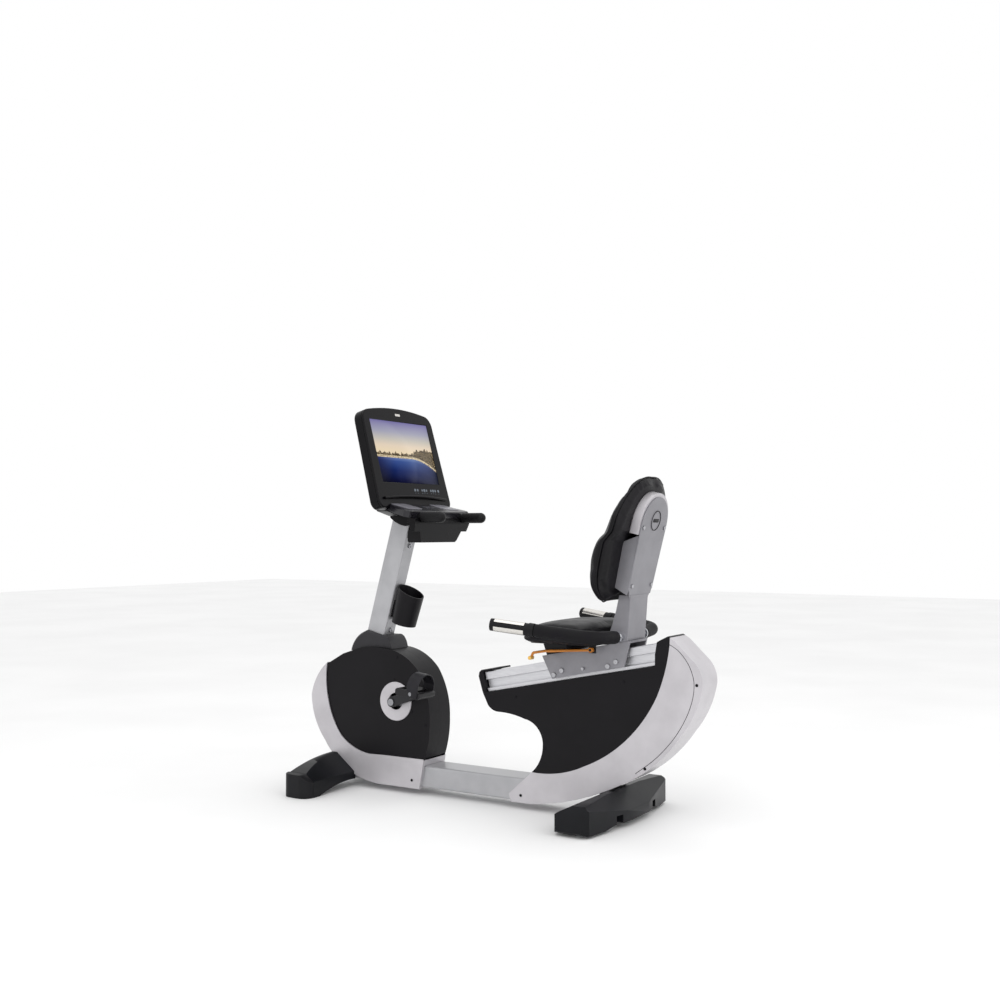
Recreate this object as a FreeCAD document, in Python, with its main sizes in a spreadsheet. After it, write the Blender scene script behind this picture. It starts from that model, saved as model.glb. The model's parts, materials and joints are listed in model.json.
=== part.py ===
import FreeCAD, Part
import math
import os
import Sketcher
from FreeCAD import Placement, Rotation, Vector

# Recumbent exercise bike. Millimetres. +X points from the console to the seat, +Y to the rider's
# right, +Z up, with the origin on the floor under the middle of the whole machine.

doc = FreeCAD.newDocument("recumbent_bike")
sheet = doc.addObject("Spreadsheet::Sheet", "sizes")

DIMENSIONS = [
    # frame
    ("beam_half", 56, "half width of the main beam"),
    ("beam_low", 28, "underside of the main beam"),
    ("beam_high", 105, "top of the main beam"),
    ("beam_front", -676, "front end of the main beam"),
    ("beam_rear", 300, "rear end of the main beam"),
    ("tube_wall", 4, "wall of the steel box tubes"),
    ("bar_half", 28, "half width of a crossbar along X"),
    ("bar_low", 32, "underside of the crossbars"),
    ("bar_high", 71, "top of the crossbars"),
    ("front_reach", 282, "half length of the front crossbar"),
    ("rear_reach", 220, "half length of the rear crossbar"),
    ("leveller_x", 465, "levelling foot"),
    ("leveller_y", 254, "levelling foot, sideways"),
    ("front_bar", -640, "centre of the front crossbar"),
    ("rear_bar", 440, "centre of the rear crossbar"),
    ("strut_half", 30, "half width of the rear struts"),
    # mast
    ("mast_slope", 0.281, "rearward run of the mast for each unit of rise"),
    ("mast_foot", -643, "mast centre line where it meets the beam top"),
    ("mast_depth", 41.5, "half depth of the mast, measured level"),
    ("mast_half", 33, "half width of the mast"),
    ("mast_wall", 3.5, "wall of the mast"),
    ("mast_bottom", 486, "lower end of the mast post"),
    ("mast_top", 985, "upper end of the mast post"),
    ("socket_top", 705, "upper end of the inner socket"),
    # drive
    ("crank_x", -392, "crank axis"),
    ("crank_z", 328, "crank axis"),
    ("crank_length", 170, "crank axis to pedal axis"),
    ("crank_angle", 18, "rise of the left crank above level at rest"),
    ("spindle_radius", 10, "crank spindle"),
    ("arm_inner", 78, "inner face of a crank arm"),
    ("arm_outer", 96, "outer face of a crank arm"),
    ("pedal_axle", 7, "radius of a pedal axle"),
    ("pedal_inner", 112, "inner face of a pedal"),
    ("pedal_outer", 206, "outer face of a pedal"),
    ("pedal_tilt", 8, "pedal tread turned towards the rider"),
    ("pulley_radius", 88, "drive pulley under the belt"),
    ("pulley_low", 47, "inner face of the drive pulley"),
    ("pulley_high", 58, "outer face of the drive pulley"),
    ("brake_x", -592, "brake wheel axis"),
    ("brake_z", 290, "brake wheel axis"),
    ("brake_radius", 92, "brake wheel"),
    ("brake_pulley", 20, "small pulley on the brake wheel"),
    ("belt_thick", 3, "belt thickness"),
    ("running", 0.05, "radial clearance of a running fit"),
    # housings
    ("shroud_half", 65, "half width of the black front shroud"),
    ("skirt_half", 70, "half width of the silver front skirt"),
    ("rear_half", 62, "half width of the rear housing"),
    ("cover_wall", 4, "wall of the moulded covers"),
    ("ring_outer", 70, "crank trim ring"),
    ("ring_inner", 36, "crank trim ring"),
    # seat rail and carriage
    ("rail_x", 18, "start of the rail's underside"),
    ("rail_z", 392, "start of the rail's underside"),
    ("rail_tilt", 11.4, "rise of the rail towards the rear"),
    ("rail_start", -24, "front end along the rail"),
    ("rail_end", 678, "rear end along the rail"),
    ("rail_half", 50, "half width of the rail"),
    ("rail_high", 70, "depth of the rail"),
    ("groove_low", 14, "side groove"),
    ("groove_high", 42, "side groove"),
    ("groove_depth", 12, "side groove"),
    ("plate_half", 68, "outer face of a carriage side plate"),
    ("plate_thick", 8, "carriage plates"),
    ("plate_top", 92, "top of the carriage over the rail's underside"),
    ("roller_radius", 13.5, "carriage rollers"),
    ("roller_axle", 5, "shoulder bolts under the rollers"),
    ("roller_front", 271, "front rollers along the rail"),
    ("roller_rear", 475, "rear rollers along the rail"),
    ("roller_height", 28, "roller axis over the rail's underside"),
    # seat
    ("column_half", 67, "half width of the seat column"),
    ("column_wall", 6, "plate of the seat column"),
    ("recline", 13.6, "recline of the back plate"),
    ("back_x", 544, "foot of the back plate"),
    ("back_z", 724, "foot of the back plate"),
    ("back_plate", 5, "back plate"),
    ("back_radius", 95, "rounded head of the back plate"),
    ("cushion_half", 200, "half width of the cushions"),
    ("arm_side", 314, "grip centre line, sideways"),
    ("arm_tube", 12.5, "arm tube radius"),
    ("foam_radius", 21, "foam sleeve on an arm"),
    ("grip_radius", 20, "grip at the end of an arm"),
    # console
    ("console_x", -351, "foot of the console's front face"),
    ("console_z", 1055, "foot of the console's front face"),
    ("console_lean", 15.3, "console leaned away from the rider"),
    ("console_foot", 222, "half width at the foot"),
    ("console_head", 212, "half width at the head"),
    ("console_back", 42, "depth of the console"),
    ("bezel", 9, "depth of the front bezel"),
    ("screen_half", 174, "half width of the screen"),
    ("screen_low", 69, "lower edge of the screen"),
    ("screen_high", 305, "upper edge of the screen"),
    ("deck_tilt", 13, "fall of the key deck towards the rider"),
    ("deck_x", -367, "upper edge of the key deck"),
    ("deck_z", 1046, "upper edge of the key deck"),
    ("deck_thick", 26, "key deck"),
    ("key_travel", 1.5, "travel of a key"),
    ("pod_half", 173, "half width of the pod's flange under the deck"),
    ("pod_low", 904, "underside of the pod"),
    ("pod_high", 1006, "top of the pod"),
    ("pod_front", -232, "rider side of the pod"),
    ("bar_side", 129, "console grips, sideways"),
    ("bar_z", 993, "console grips, height"),
]


class Size:
    """A number from the sheet that remembers the expression it came from."""

    def __init__(self, value, text):
        self.value, self.text = float(value), text

    def __add__(self, other):
        other = as_size(other)
        return Size(self.value + other.value, f"({self.text} + {other.text})")

    def __sub__(self, other):
        other = as_size(other)
        return Size(self.value - other.value, f"({self.text} - {other.text})")

    def __mul__(self, other):
        other = as_size(other)
        return Size(self.value * other.value, f"({self.text} * {other.text})")

    def __neg__(self):
        return Size(-self.value, f"(-1 * {self.text})")

    __radd__ = __add__
    __rmul__ = __mul__

    def __rsub__(self, other):
        return as_size(other) - self


def as_size(value):
    return value if isinstance(value, Size) else Size(value, repr(float(value)))


def number(value):
    return as_size(value).value


for row, (alias, value, meaning) in enumerate(DIMENSIONS, 1):
    sheet.set(f"A{row}", meaning)
    sheet.set(f"B{row}", str(value))
    sheet.setAlias(f"B{row}", alias)
doc.recompute()
S = {alias: Size(sheet.get(alias), f"sizes.{alias}") for alias, value, meaning in DIMENSIONS}

NODES = {}


def node(name, obj):
    """Marks an object as a finished sub-part."""
    obj.Label = name
    NODES[name] = obj
    return obj


def bind(obj, path, value):
    if isinstance(value, Size):
        obj.setExpression(path, value.text)


def place(obj, x=0, y=0, z=0, turn=0, axis=(0, 1, 0)):
    """Puts an object in its place, with its position bound to the sheet."""
    spot = Vector(number(x), number(y), number(z))
    obj.Placement = Placement(spot, Rotation(Vector(*axis), number(turn)))
    for letter, value in zip("xyz", (x, y, z)):
        bind(obj, f"Placement.Base.{letter}", value)
    return obj


def solid(kind, name, **sizes):
    """A Part primitive with its sizes bound to the sheet."""
    obj = doc.addObject(f"Part::{kind}", name)
    for prop, value in sizes.items():
        setattr(obj, prop, number(value))
        bind(obj, prop, value)
    return obj


def box(name, x, y, z):
    """A box from three (low, high) pairs."""
    obj = solid("Box", name, Length=x[1] - x[0], Width=y[1] - y[0], Height=z[1] - z[0])
    return place(obj, x[0], y[0], z[0])


def rod_y(name, radius, x, z, low, high):
    """A cylinder along Y from low to high."""
    obj = solid("Cylinder", name, Radius=radius, Height=as_size(high) - low)
    return place(obj, x, high, z, 90, (1, 0, 0))


def rod_x(name, radius, y, z, low, high):
    """A cylinder along X from low to high."""
    obj = solid("Cylinder", name, Radius=radius, Height=as_size(high) - low)
    return place(obj, low, y, z, 90)


def rod_z(name, radius, x, y, low, high):
    """A cylinder along Z from low to high."""
    obj = solid("Cylinder", name, Radius=radius, Height=as_size(high) - low)
    return place(obj, x, y, low)


def fuse(name, parts):
    obj = doc.addObject("Part::MultiFuse", name)
    obj.Shapes = parts
    return obj


def subtract(name, base, tools):
    """base without the tools, checked by volume."""
    tool = tools[0] if len(tools) == 1 else fuse(name + "_tools", tools)
    obj = doc.addObject("Part::Cut", name)
    obj.Base, obj.Tool = base, tool
    doc.recompute()
    if obj.Shape.isNull() or obj.Shape.Volume > base.Shape.Volume - 0.5:
        raise ValueError(f"{name}: the tools cut nothing from {base.Name}")
    return obj


def overlap(name, first, second):
    obj = doc.addObject("Part::Common", name)
    obj.Base, obj.Tool = first, second
    return obj


def group(name, parts):
    """Several equal pieces kept as separate solids of one sub-part."""
    obj = doc.addObject("Part::Compound", name)
    obj.Links = parts
    return obj


def mirrored(name, source):
    """The same piece on the other side of the machine."""
    obj = doc.addObject("Part::Mirroring", name)
    obj.Source = source
    obj.Normal = (0, 1, 0)
    return obj


def draw(sketch, outline):
    """Closed outline of lines, (x, y), and arcs, (x, y, through_x, through_y), each ending at x, y.
    An outline that closes with an arc repeats its first point at the end."""
    if [number(v) for v in outline[0][:2]] == [number(v) for v in outline[-1][:2]]:
        outline = outline[1:]
    points = [Vector(number(p[0]), number(p[1]), 0) for p in outline]
    limits, bound = [], []
    starts, ends = [], []
    for i, point in enumerate(outline):
        begin, end = points[i - 1], points[i]
        if len(point) == 2:
            index = sketch.addGeometry(Part.LineSegment(begin, end), False)
            flipped = False
        else:
            middle = Vector(number(point[2]), number(point[3]), 0)
            circle = Part.Arc(begin, middle, end).toShape().Curve
            flipped = (middle - begin).cross(end - begin).z < 0
            sides = [math.atan2(p.y - circle.Center.y, p.x - circle.Center.x) for p in (begin, end)]
            if flipped:
                sides.reverse()
            round_edge = Part.Circle(circle.Center, Vector(0, 0, 1), circle.Radius)
            index = sketch.addGeometry(Part.ArcOfCircle(round_edge, *sides), False)
            chord = end - begin
            steep = abs(chord.y) > abs(chord.x)
            centre = ("DistanceX", circle.Center.x) if steep else ("DistanceY", circle.Center.y)
            limits.append(Sketcher.Constraint(centre[0], -1, 1, index, 3, centre[1]))
        starts.append((index, 2 if flipped else 1))
        ends.append((index, 1 if flipped else 2))
    for i, point in enumerate(outline):
        following = starts[(i + 1) % len(outline)]
        limits.append(Sketcher.Constraint("Coincident", *ends[i], *following))
        for axis, value in zip(("DistanceX", "DistanceY"), point[:2]):
            bound.append((len(limits), value))
            limits.append(Sketcher.Constraint(axis, -1, 1, *ends[i], number(value)))
    sketch.addConstraint(limits)
    for index, value in bound:
        bind(sketch, f"Constraints[{index}]", value)


def draw_circles(sketch, circles):
    """Circles as (x, y, radius)."""
    for x, y, radius in circles:
        centre = Vector(number(x), number(y), 0)
        index = sketch.addGeometry(Part.Circle(centre, Vector(0, 0, 1), number(radius)), False)
        places = [
            sketch.addConstraint(Sketcher.Constraint("DistanceX", -1, 1, index, 3, number(x))),
            sketch.addConstraint(Sketcher.Constraint("DistanceY", -1, 1, index, 3, number(y))),
            sketch.addConstraint(Sketcher.Constraint("Radius", index, number(radius))),
        ]
        for constraint, value in zip(places, (x, y, radius)):
            bind(sketch, f"Constraints[{constraint}]", value)


def profile(body, plane, shape, offset):
    """A sketch on one of the body's own origin planes, moved along the plane's normal."""
    sketch = body.newObject("Sketcher::SketchObject", body.Name + "_profile")
    origin = [f for f in body.Origin.OriginFeatures if f.Role == plane + "_Plane"][0]
    sketch.AttachmentSupport = [(origin, "")]
    sketch.MapMode = "FlatFace"
    sketch.AttachmentOffset = Placement(Vector(0, 0, number(offset)), Rotation())
    bind(sketch, "AttachmentOffset.Base.z", offset)
    if shape and isinstance(shape, dict):
        draw_circles(sketch, shape["circles"])
    else:
        draw(sketch, shape)
    return sketch


def add(body, plane, shape, low, high):
    """Pads a profile so that it fills low to high across its plane. XZ faces -Y, so it starts at high."""
    low, high = as_size(low), as_size(high)
    sketch = profile(body, plane, shape, -high if plane == "XZ" else low)
    pad = body.newObject("PartDesign::Pad", body.Name + "_pad")
    pad.Profile = sketch
    pad.Length = number(high - low)
    bind(pad, "Length", high - low)
    return body


def cut(body, plane, shape, low, high):
    """Pockets a profile from low to high across its plane, and checks that it removed material."""
    doc.recompute()
    before = body.Shape.Volume
    low, high = as_size(low), as_size(high)
    sketch = profile(body, plane, shape, -low if plane == "XZ" else high)
    pocket = body.newObject("PartDesign::Pocket", body.Name + "_pocket")
    pocket.Profile = sketch
    pocket.Length = number(high - low)
    bind(pocket, "Length", high - low)
    doc.recompute()
    if body.Shape.Volume > before - 0.5:
        raise ValueError(f"{body.Name}: a pocket cut nothing")
    return body


def prism(name, plane, shape, low, high):
    """A body made by padding one profile."""
    return add(doc.addObject("PartDesign::Body", name), plane, shape, low, high)


def soften(body, radius, choose):
    """Rounds the edges of a body that choose picks."""
    doc.recompute()
    tip = body.Tip
    names = [f"Edge{i}" for i, edge in enumerate(tip.Shape.Edges, 1) if choose(edge)]
    fillet = body.newObject("PartDesign::Fillet", body.Name + "_round")
    fillet.Base = (tip, names)
    fillet.Radius = number(radius)
    bind(fillet, "Radius", radius)
    return body


def on_plane(axis, value):
    """Picks the edges that lie in the plane where the coordinate has that value."""

    def choose(edge):
        limits = edge.BoundBox
        low, high = getattr(limits, axis + "Min"), getattr(limits, axis + "Max")
        return abs(low - number(value)) < 0.01 and abs(high - number(value)) < 0.01

    return choose


def along(axis):
    """Picks the straight edges that run along an axis."""
    others = [letter for letter in "XYZ" if letter != axis]

    def choose(edge):
        limits = edge.BoundBox
        return all(getattr(limits, letter + "Length") < 0.01 for letter in others)

    return choose


def rectangle(x, z):
    return [(x[0], z[0]), (x[1], z[0]), (x[1], z[1]), (x[0], z[1])]


def half_shell(name, outline, half, open_to):
    """Left half of a hollow cover: a side wall at -half and a wall around the outline up to y = 0."""
    outer = prism(name + "_outer", "XZ", outline, -half, 0)
    flat = doc.addObject("Sketcher::SketchObject", name + "_outline")
    flat.Placement = Placement(Vector(0, 0, 0), Rotation(Vector(1, 0, 0), 90))
    draw(flat, outline)
    inset = doc.addObject("Part::Offset2D", name + "_inset")
    inset.Source = flat
    inset.Value = -number(S["cover_wall"])
    inset.Join = 2
    bind(inset, "Value", -S["cover_wall"])
    inner = doc.addObject("Part::Extrusion", name + "_inner")
    inner.Base = inset
    inner.DirMode = "Custom"
    inner.Dir = (0, -1, 0)
    inner.LengthFwd = number(half - S["cover_wall"])
    inner.LengthRev = 1
    inner.Solid = True
    bind(inner, "LengthFwd", half - S["cover_wall"])
    return subtract(name, outer, [inner] + open_to)


def mast_at(height):
    """Mast centre line at a height."""
    return S["mast_foot"] + S["mast_slope"] * (as_size(height) - S["beam_high"])


def mast_outline(low, high, inset):
    """Leaning box of the mast between two heights, seen from the side."""
    depth = S["mast_depth"] - inset
    return [
        (mast_at(low) - depth, low),
        (mast_at(low) + depth, low),
        (mast_at(high) + depth, high),
        (mast_at(high) - depth, high),
    ]


def place_on_rail(obj):
    return place(obj, S["rail_x"], 0, S["rail_z"], -number(S["rail_tilt"]))


def place_on_back(obj):
    return place(obj, S["back_x"], 0, S["back_z"], S["recline"])


def place_on_console(obj):
    return place(obj, S["console_x"], 0, S["console_z"], -number(S["console_lean"]))


def place_on_deck(obj):
    return place(obj, S["deck_x"], 0, S["deck_z"], S["deck_tilt"])


# ---------------------------------------------------------------------------- frame


def main_beam():
    beam = prism("beam", "YZ", rectangle((-S["beam_half"], S["beam_half"]), (S["beam_low"], S["beam_high"])),
                 S["beam_front"], S["beam_rear"])
    soften(beam, 8, along("X"))
    inner = S["beam_half"] - S["tube_wall"]
    cut(beam, "YZ", rectangle((-inner, inner), (S["beam_low"] + S["tube_wall"], S["beam_high"] - S["tube_wall"])),
        S["beam_front"] + S["tube_wall"], S["beam_rear"])
    # the underside rises towards the rear leg
    mitre = [(140, 20), (S["beam_rear"] + 10, 20), (S["beam_rear"] + 10, 68)]
    cut(beam, "XZ", mitre, -S["beam_half"] - 5, S["beam_half"] + 5)
    bar = (S["front_bar"] - S["bar_half"], S["front_bar"] + S["bar_half"])
    cut(beam, "XZ", rectangle(bar, (S["bar_low"], S["bar_high"])), -S["beam_half"] - 5, S["beam_half"] + 5)
    node("main_beam", beam)


def crossbars():
    """Front and rear crossbars; the rear one ends in plates for the levelling feet."""
    bars = []
    for end, length in (("front_bar", "front_reach"), ("rear_bar", "rear_reach")):
        across = (S[end] - S["bar_half"], S[end] + S["bar_half"])
        inside = (across[0] + S["tube_wall"], across[1] - S["tube_wall"])
        bar = prism(end, "XZ", rectangle(across, (S["bar_low"], S["bar_high"])), -S[length], S[length])
        soften(bar, 6, along("Y"))
        bore = rectangle(inside, (S["bar_low"] + S["tube_wall"], S["bar_high"] - S["tube_wall"]))
        cut(bar, "XZ", bore, -S[length], S[length])
        bars.append(bar)
    reach = number(S["rear_reach"])
    for side in (-1, 1):
        low, high = sorted((side * reach, side * (reach + 62)))
        plate = box("leveller_plate", (S["rear_bar"] - 28, S["rear_bar"] + 46), (low, high), (30, 40))
        hole = rod_z("leveller_thread", 6, S["leveller_x"], side * S["leveller_y"], 20, 50)
        bars.append(subtract("leveller_nut_plate", plate, [hole]))
    node("crossbars", group("bars", bars))


def frame_brackets():
    """Mast socket with the brake's stub axle, crank carrier and rear struts, all welded to the beam."""
    half = S["mast_half"] - S["mast_wall"]
    socket = prism("socket", "XZ", mast_outline(S["beam_high"], S["socket_top"], S["mast_wall"]), -half, half)
    wall = S["mast_wall"] + S["tube_wall"]
    cut(socket, "XZ", mast_outline(S["beam_high"], S["socket_top"], wall), S["tube_wall"] - half, half - S["tube_wall"])
    x, z = S["crank_x"], S["crank_z"]
    stand = prism("crank_stand", "XZ", [(x - 80, S["beam_high"]), (x + 80, S["beam_high"]), (x + 20, z), (x - 20, z)],
                  -22, 22)
    shell = rod_y("crank_shell", 26, x, z, -38, 38)
    bore = rod_y("crank_shell_bore", 21, x, z, -40, 40)
    carrier = subtract("crank_carrier", fuse("crank_weld", [stand, shell]), [bore])
    rail_low = 392 + 0.2016 * (as_size(232) - S["rail_x"])
    front_strut = prism("front_strut", "XZ", [(232, S["beam_high"]), (292, S["beam_high"]), (292, rail_low + 12.1),
                                              (232, rail_low)], -S["strut_half"], S["strut_half"])
    cut(front_strut, "XY", rectangle((236, 288), (-26, 26)), S["beam_high"], 455)
    rear_leg = prism("rear_leg", "XZ", [(300, 72), (400, 102), (560, 180), (650, 280), (665, 522.4), (610, 511.3),
                                        (600, 300), (520, 215), (385, 146), (300, 105)],
                     -S["strut_half"], S["strut_half"])
    inside = [(304, 80), (398, 109), (556, 186), (644, 284), (660, 600), (616, 600), (606, 298), (524, 209),
              (388, 139), (304, 100)]
    cut(rear_leg, "XZ", inside, 4 - S["strut_half"], S["strut_half"] - 4)
    bar = S["rear_bar"]
    saddle = prism("bar_saddle", "XZ", [(bar - 25, S["bar_high"]), (bar + 25, S["bar_high"]), (bar + 25, 133.8),
                                        (bar - 25, 109.4)], -S["strut_half"], S["strut_half"])
    x, z = S["brake_x"], S["brake_z"]
    flange = rod_y("brake_flange", 26, x, z, S["mast_half"] - S["mast_wall"], 33)
    stub = fuse("brake_stub", [flange, rod_y("brake_pin", 8, x, z, 32, 60)])
    node("frame_brackets", group("brackets", [socket, carrier, front_strut, rear_leg, saddle, stub]))


def mast_post():
    post = prism("post", "XZ", mast_outline(S["mast_bottom"], S["mast_top"], 0), -S["mast_half"], S["mast_half"])
    soften(post, 7, lambda edge: edge.BoundBox.ZLength > 400)
    cut(post, "XZ", mast_outline(S["mast_bottom"] - 1, S["mast_top"] - 20, S["mast_wall"]),
        S["mast_wall"] - S["mast_half"], S["mast_half"] - S["mast_wall"])
    node("mast_post", post)


def frame_bolts():
    """Hex socket bolts: two on the rear face of the mast and four that clamp the rail."""
    bolts = []
    for height in (578, 890):
        head = solid("Cylinder", "mast_bolt", Radius=9, Height=6)
        socket = solid("Cylinder", "mast_bolt_hex", Radius=4, Height=4)
        socket.Placement = Placement(Vector(0, 0, 3), Rotation())
        bolt = subtract("mast_bolt_cut", head, [socket])
        lean = math.degrees(math.atan(number(S["mast_slope"])))
        place(bolt, mast_at(height) + S["mast_depth"], 0, height, 90 + lean)
        bolts.append(bolt)
    node("frame_bolts", group("bolts", bolts))


def feet():
    """Front and rear floor feet with rubber ends and two levelling feet."""
    low, high = S["front_bar"] - 58, S["front_bar"] + 58
    bow = [(-62, 28), (-62, 118), (-296, 82, -185, 108), (-296, 0), (-262, 0), (-62, 28, -180, 22)]
    cover = prism("front_cover", "YZ", bow, low, high)
    soften(cover, 10, lambda edge: edge.BoundBox.ZMin > 60 and edge.BoundBox.YLength > 60)
    cavity = box("front_cavity", (low + 6, S["front_bar"] + 29), (-290, -61), (S["bar_low"] - 1, S["bar_high"] + 1))
    slope = [(S["front_bar"] - 24, 118), (S["front_bar"] + 100, 25), (S["front_bar"] + 100, 140),
             (S["front_bar"] - 24, 140)]
    left = subtract("front_foot_left", cover, [cavity, prism("foot_slope", "XZ", slope, -300, -60)])
    node("front_foot_covers", group("front_feet", [left, mirrored("front_foot_right", left)]))
    plan = [(low, -296), (high, -296), (high - 40, -335, high - 11, -324), (low + 40, -335),
            (low, -296, low + 11, -324)]
    cap = prism("front_cap", "XY", plan, 0, 82)
    cap = subtract("front_cap_sloped", cap, [prism("cap_slope", "XZ", slope, -340, -290)])
    node("front_foot_caps", group("front_caps", [cap, mirrored("front_cap_right", cap)]))

    front, rear = S["rear_bar"] - 57, S["rear_bar"] + 108
    plan = [(front + 14, -302), (front, -276), (front, 276), (front + 14, 302), (rear - 56, 302), (rear - 38, 286),
            (rear, 70), (rear, -70), (rear - 38, -286), (rear - 56, -302)]
    face = [(-302, 16), (-290, 9), (-205, 9), (-150, 20), (150, 20), (205, 9), (290, 9), (302, 16), (302, 70),
            (285, 96), (120, 104), (-120, 104), (-285, 96), (-302, 70)]
    section = [(front - 5, -5), (front - 5, 58), (front + 3, 62), (front + 29, 78), (front + 82, 104),
               (front + 102, 104), (rear - 4, 56), (rear + 5, 46), (rear + 5, -5)]
    block = overlap("rear_block", prism("rear_plan", "XY", plan, 0, 130), prism("rear_face", "YZ", face, front, rear))
    moulding = overlap("rear_moulding", block, prism("rear_section", "XZ", section, -310, 310))
    bar = S["rear_bar"]
    tools = [box("rear_cavity", (bar - 30, rear - 52), (-222, 222), (S["bar_low"] - 1, S["bar_high"] + 1)),
             box("saddle_room", (bar - 26, bar + 26), (-31, 31), (60, 130))]
    for side in (-1, 1):
        low, high = sorted((side * 215, side * 290))
        tools.append(box("heel_notch", (rear - 48, rear + 5), (side * 128 - 17, side * 128 + 17), (0, 46)))
        tools.append(box("plate_room", (S["rear_bar"] - 30, S["rear_bar"] + 48), (low, high), (29, 44)))
        tools.append(rod_z("leveller_hole", 8, S["leveller_x"], side * S["leveller_y"], 0, 52))
    node("rear_foot_cover", subtract("rear_foot", moulding, tools))
    for name, side in (("leveller_left", -1), ("leveller_right", 1)):
        pad = rod_z("leveller_pad", 19, S["leveller_x"], side * S["leveller_y"], 0, 8)
        stem = rod_z("leveller_stem", 5.95, S["leveller_x"], side * S["leveller_y"], 8, 48)
        node(name, fuse("leveller", [pad, stem]))


# ---------------------------------------------------------------------------- covers


SHROUD = [(-560, 513), (-444, 516, -504, 518.5), (-295, 443, -353, 490), (-244, 270, -256, 360),
          (-267, 126, -250, 190), (-442, 124), (-511, 126), (-678, 229, -615, 155), (-717, 384, -706, 310),
          (-714, 446), (-640, 487)]


def front_housing():
    half = S["shroud_half"]
    x, z = S["crank_x"], S["crank_z"]
    opening = rod_y("crank_opening", S["ring_inner"], x, z, -half - 5, 5)
    mast_slot = prism("mast_slot", "XZ", mast_outline(430, 560, -1), -S["mast_half"] - 1, S["mast_half"] + 1)
    below = prism("shroud_floor", "XZ", [(-700, 330), (-690, 90), (-262, 90), (-262, 132), (-290, 150), (-480, 150),
                                         (-600, 190), (-660, 270), (-690, 400)], S["cover_wall"] - half, 1)
    left = half_shell("shroud_half", SHROUD, half, [opening, mast_slot, below])
    node("shroud_left", left)
    node("shroud_right", mirrored("shroud_mirror", left))

    skirt_half = S["skirt_half"]
    outer = [(-710, 452), (-788, 325, -762, 395), (-722, 160, -771, 240), (-572, 43, -655, 88),
             (-470, 23, -520, 29), (-286, 23), (-267, 126), (-400, 300)]
    inner = [(-714, 448), (-707, 309, -718, 384), (-644, 183, -682, 240), (-511, 127, -585, 145), (-442, 129),
             (-267, 130), (-230, 130), (-230, 470), (-650, 520)]
    tunnel = box("beam_tunnel", (-310, -250), (-S["beam_half"] - 0.5, 5), (0, S["beam_high"] + 0.5))
    bar = S["front_bar"]
    foot_gap = prism("foot_gap", "XZ", [(bar - 59, -1), (bar - 59, 119), (bar - 23, 119), (bar + 59, 57), (bar + 59, -1)],
                     -80, 5)
    beam_room = box("beam_room", (-700, -262), (-S["beam_half"] - 0.5, 5), (S["beam_low"] - 0.2, S["beam_high"]))
    shape = prism("skirt_window", "XZ", inner, -skirt_half - 5, 5)
    left = half_shell("skirt_half", outer, skirt_half, [shape, tunnel, foot_gap, beam_room])
    shroud_room = prism("shroud_room", "XZ", SHROUD, -half, 1)
    left = subtract("skirt_trimmed", left, [shroud_room])
    node("skirt_left", left)
    node("skirt_right", mirrored("skirt_mirror", left))

    rings = []
    for side in (-1, 1):
        low, high = sorted((side * number(half), side * (number(half) + 5)))
        disc = rod_y("ring_disc", S["ring_outer"], x, z, low, high)
        hole = rod_y("ring_hole", S["ring_inner"] - 6, x, z, low - 1, high + 1)
        rings.append(subtract("trim_ring", disc, [hole]))
    node("crank_trim_rings", group("rings", rings))


def boot():
    side = S["mast_half"] + 17
    shape = [(-619, 500), (-570, 566, -600, 540), (-544, 578), (-478, 562), (-450, 562), (-424, 500, -430, 535)]
    body = prism("boot_outer", "XZ", shape, -side, side)
    soften(body, 12, lambda edge: edge.BoundBox.ZMin > 530 and edge.BoundBox.YLength < 0.1)
    hole = prism("boot_hole", "XZ", mast_outline(430, 620, -0.4), -S["mast_half"] - 0.4, S["mast_half"] + 0.4)
    seat = prism("boot_seat", "XZ", SHROUD, -S["shroud_half"], S["shroud_half"])
    node("mast_boot", subtract("boot_body", body, [hole, seat]))


REAR_OUTER = [(175, 132), (84, 50), (92, 24), (165, 24), (502, 123, 350, 61), (719, 304, 625, 200),
              (790, 460, 768, 385), (760, 538, 784, 503), (697, 598), (674, 612), (650, 600), (636, 592), (629, 551),
              (629, 519), (618, 512.9), (24, 393.2), (-22, 388), (0, 345), (40, 324, 16, 331), (148, 308, 98, 320),
              (218, 224, 203, 275), (175, 132, 207, 175)]


def rear_housing():
    half = S["rear_half"]
    outline = REAR_OUTER
    rail = place_on_rail(prism("rail_room", "XZ", rectangle((S["rail_start"], 686), (-12, S["rail_high"] + 0.5)),
                               -S["rail_half"] - 0.5, 5))
    beam = box("beam_mouth", (70, 200), (-S["beam_half"] - 0.5, 5), (S["beam_low"] - 0.5, S["beam_high"] + 0.5))
    saddle = box("saddle_gap", (S["rear_bar"] - 27, S["rear_bar"] + 27), (-S["strut_half"] - 1, 5), (60, 145))
    whole = half_shell("rear_shell_half", outline, half, [rail, beam, saddle])
    band = [(175, 132), (84, 50), (80, 10), (500, 10), (830, 300), (830, 560), (681, 640), (680, 585),
            (635, 418, 665, 505), (377, 173, 533, 277), (175, 132, 279, 139)]
    belt_shape = prism("silver_band", "XZ", band, -half - 5, 5)
    silver = overlap("silver_half", whole, belt_shape)
    black = subtract("black_half", whole, [belt_shape])
    strip = prism("rail_lip", "XZ", [(-22, 389), (-38, 441), (-35, 456), (-26, 463.5), (16, 471), (17, 465),
                                     (-22, 457.5), (-9, 388)], -half, 0)
    black = fuse("black_panel_half", [black, strip])
    node("rear_shell_left", silver)
    node("rear_shell_right", mirrored("silver_mirror", silver))
    node("rear_panel_left", black)
    node("rear_panel_right", mirrored("black_mirror", black))


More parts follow.
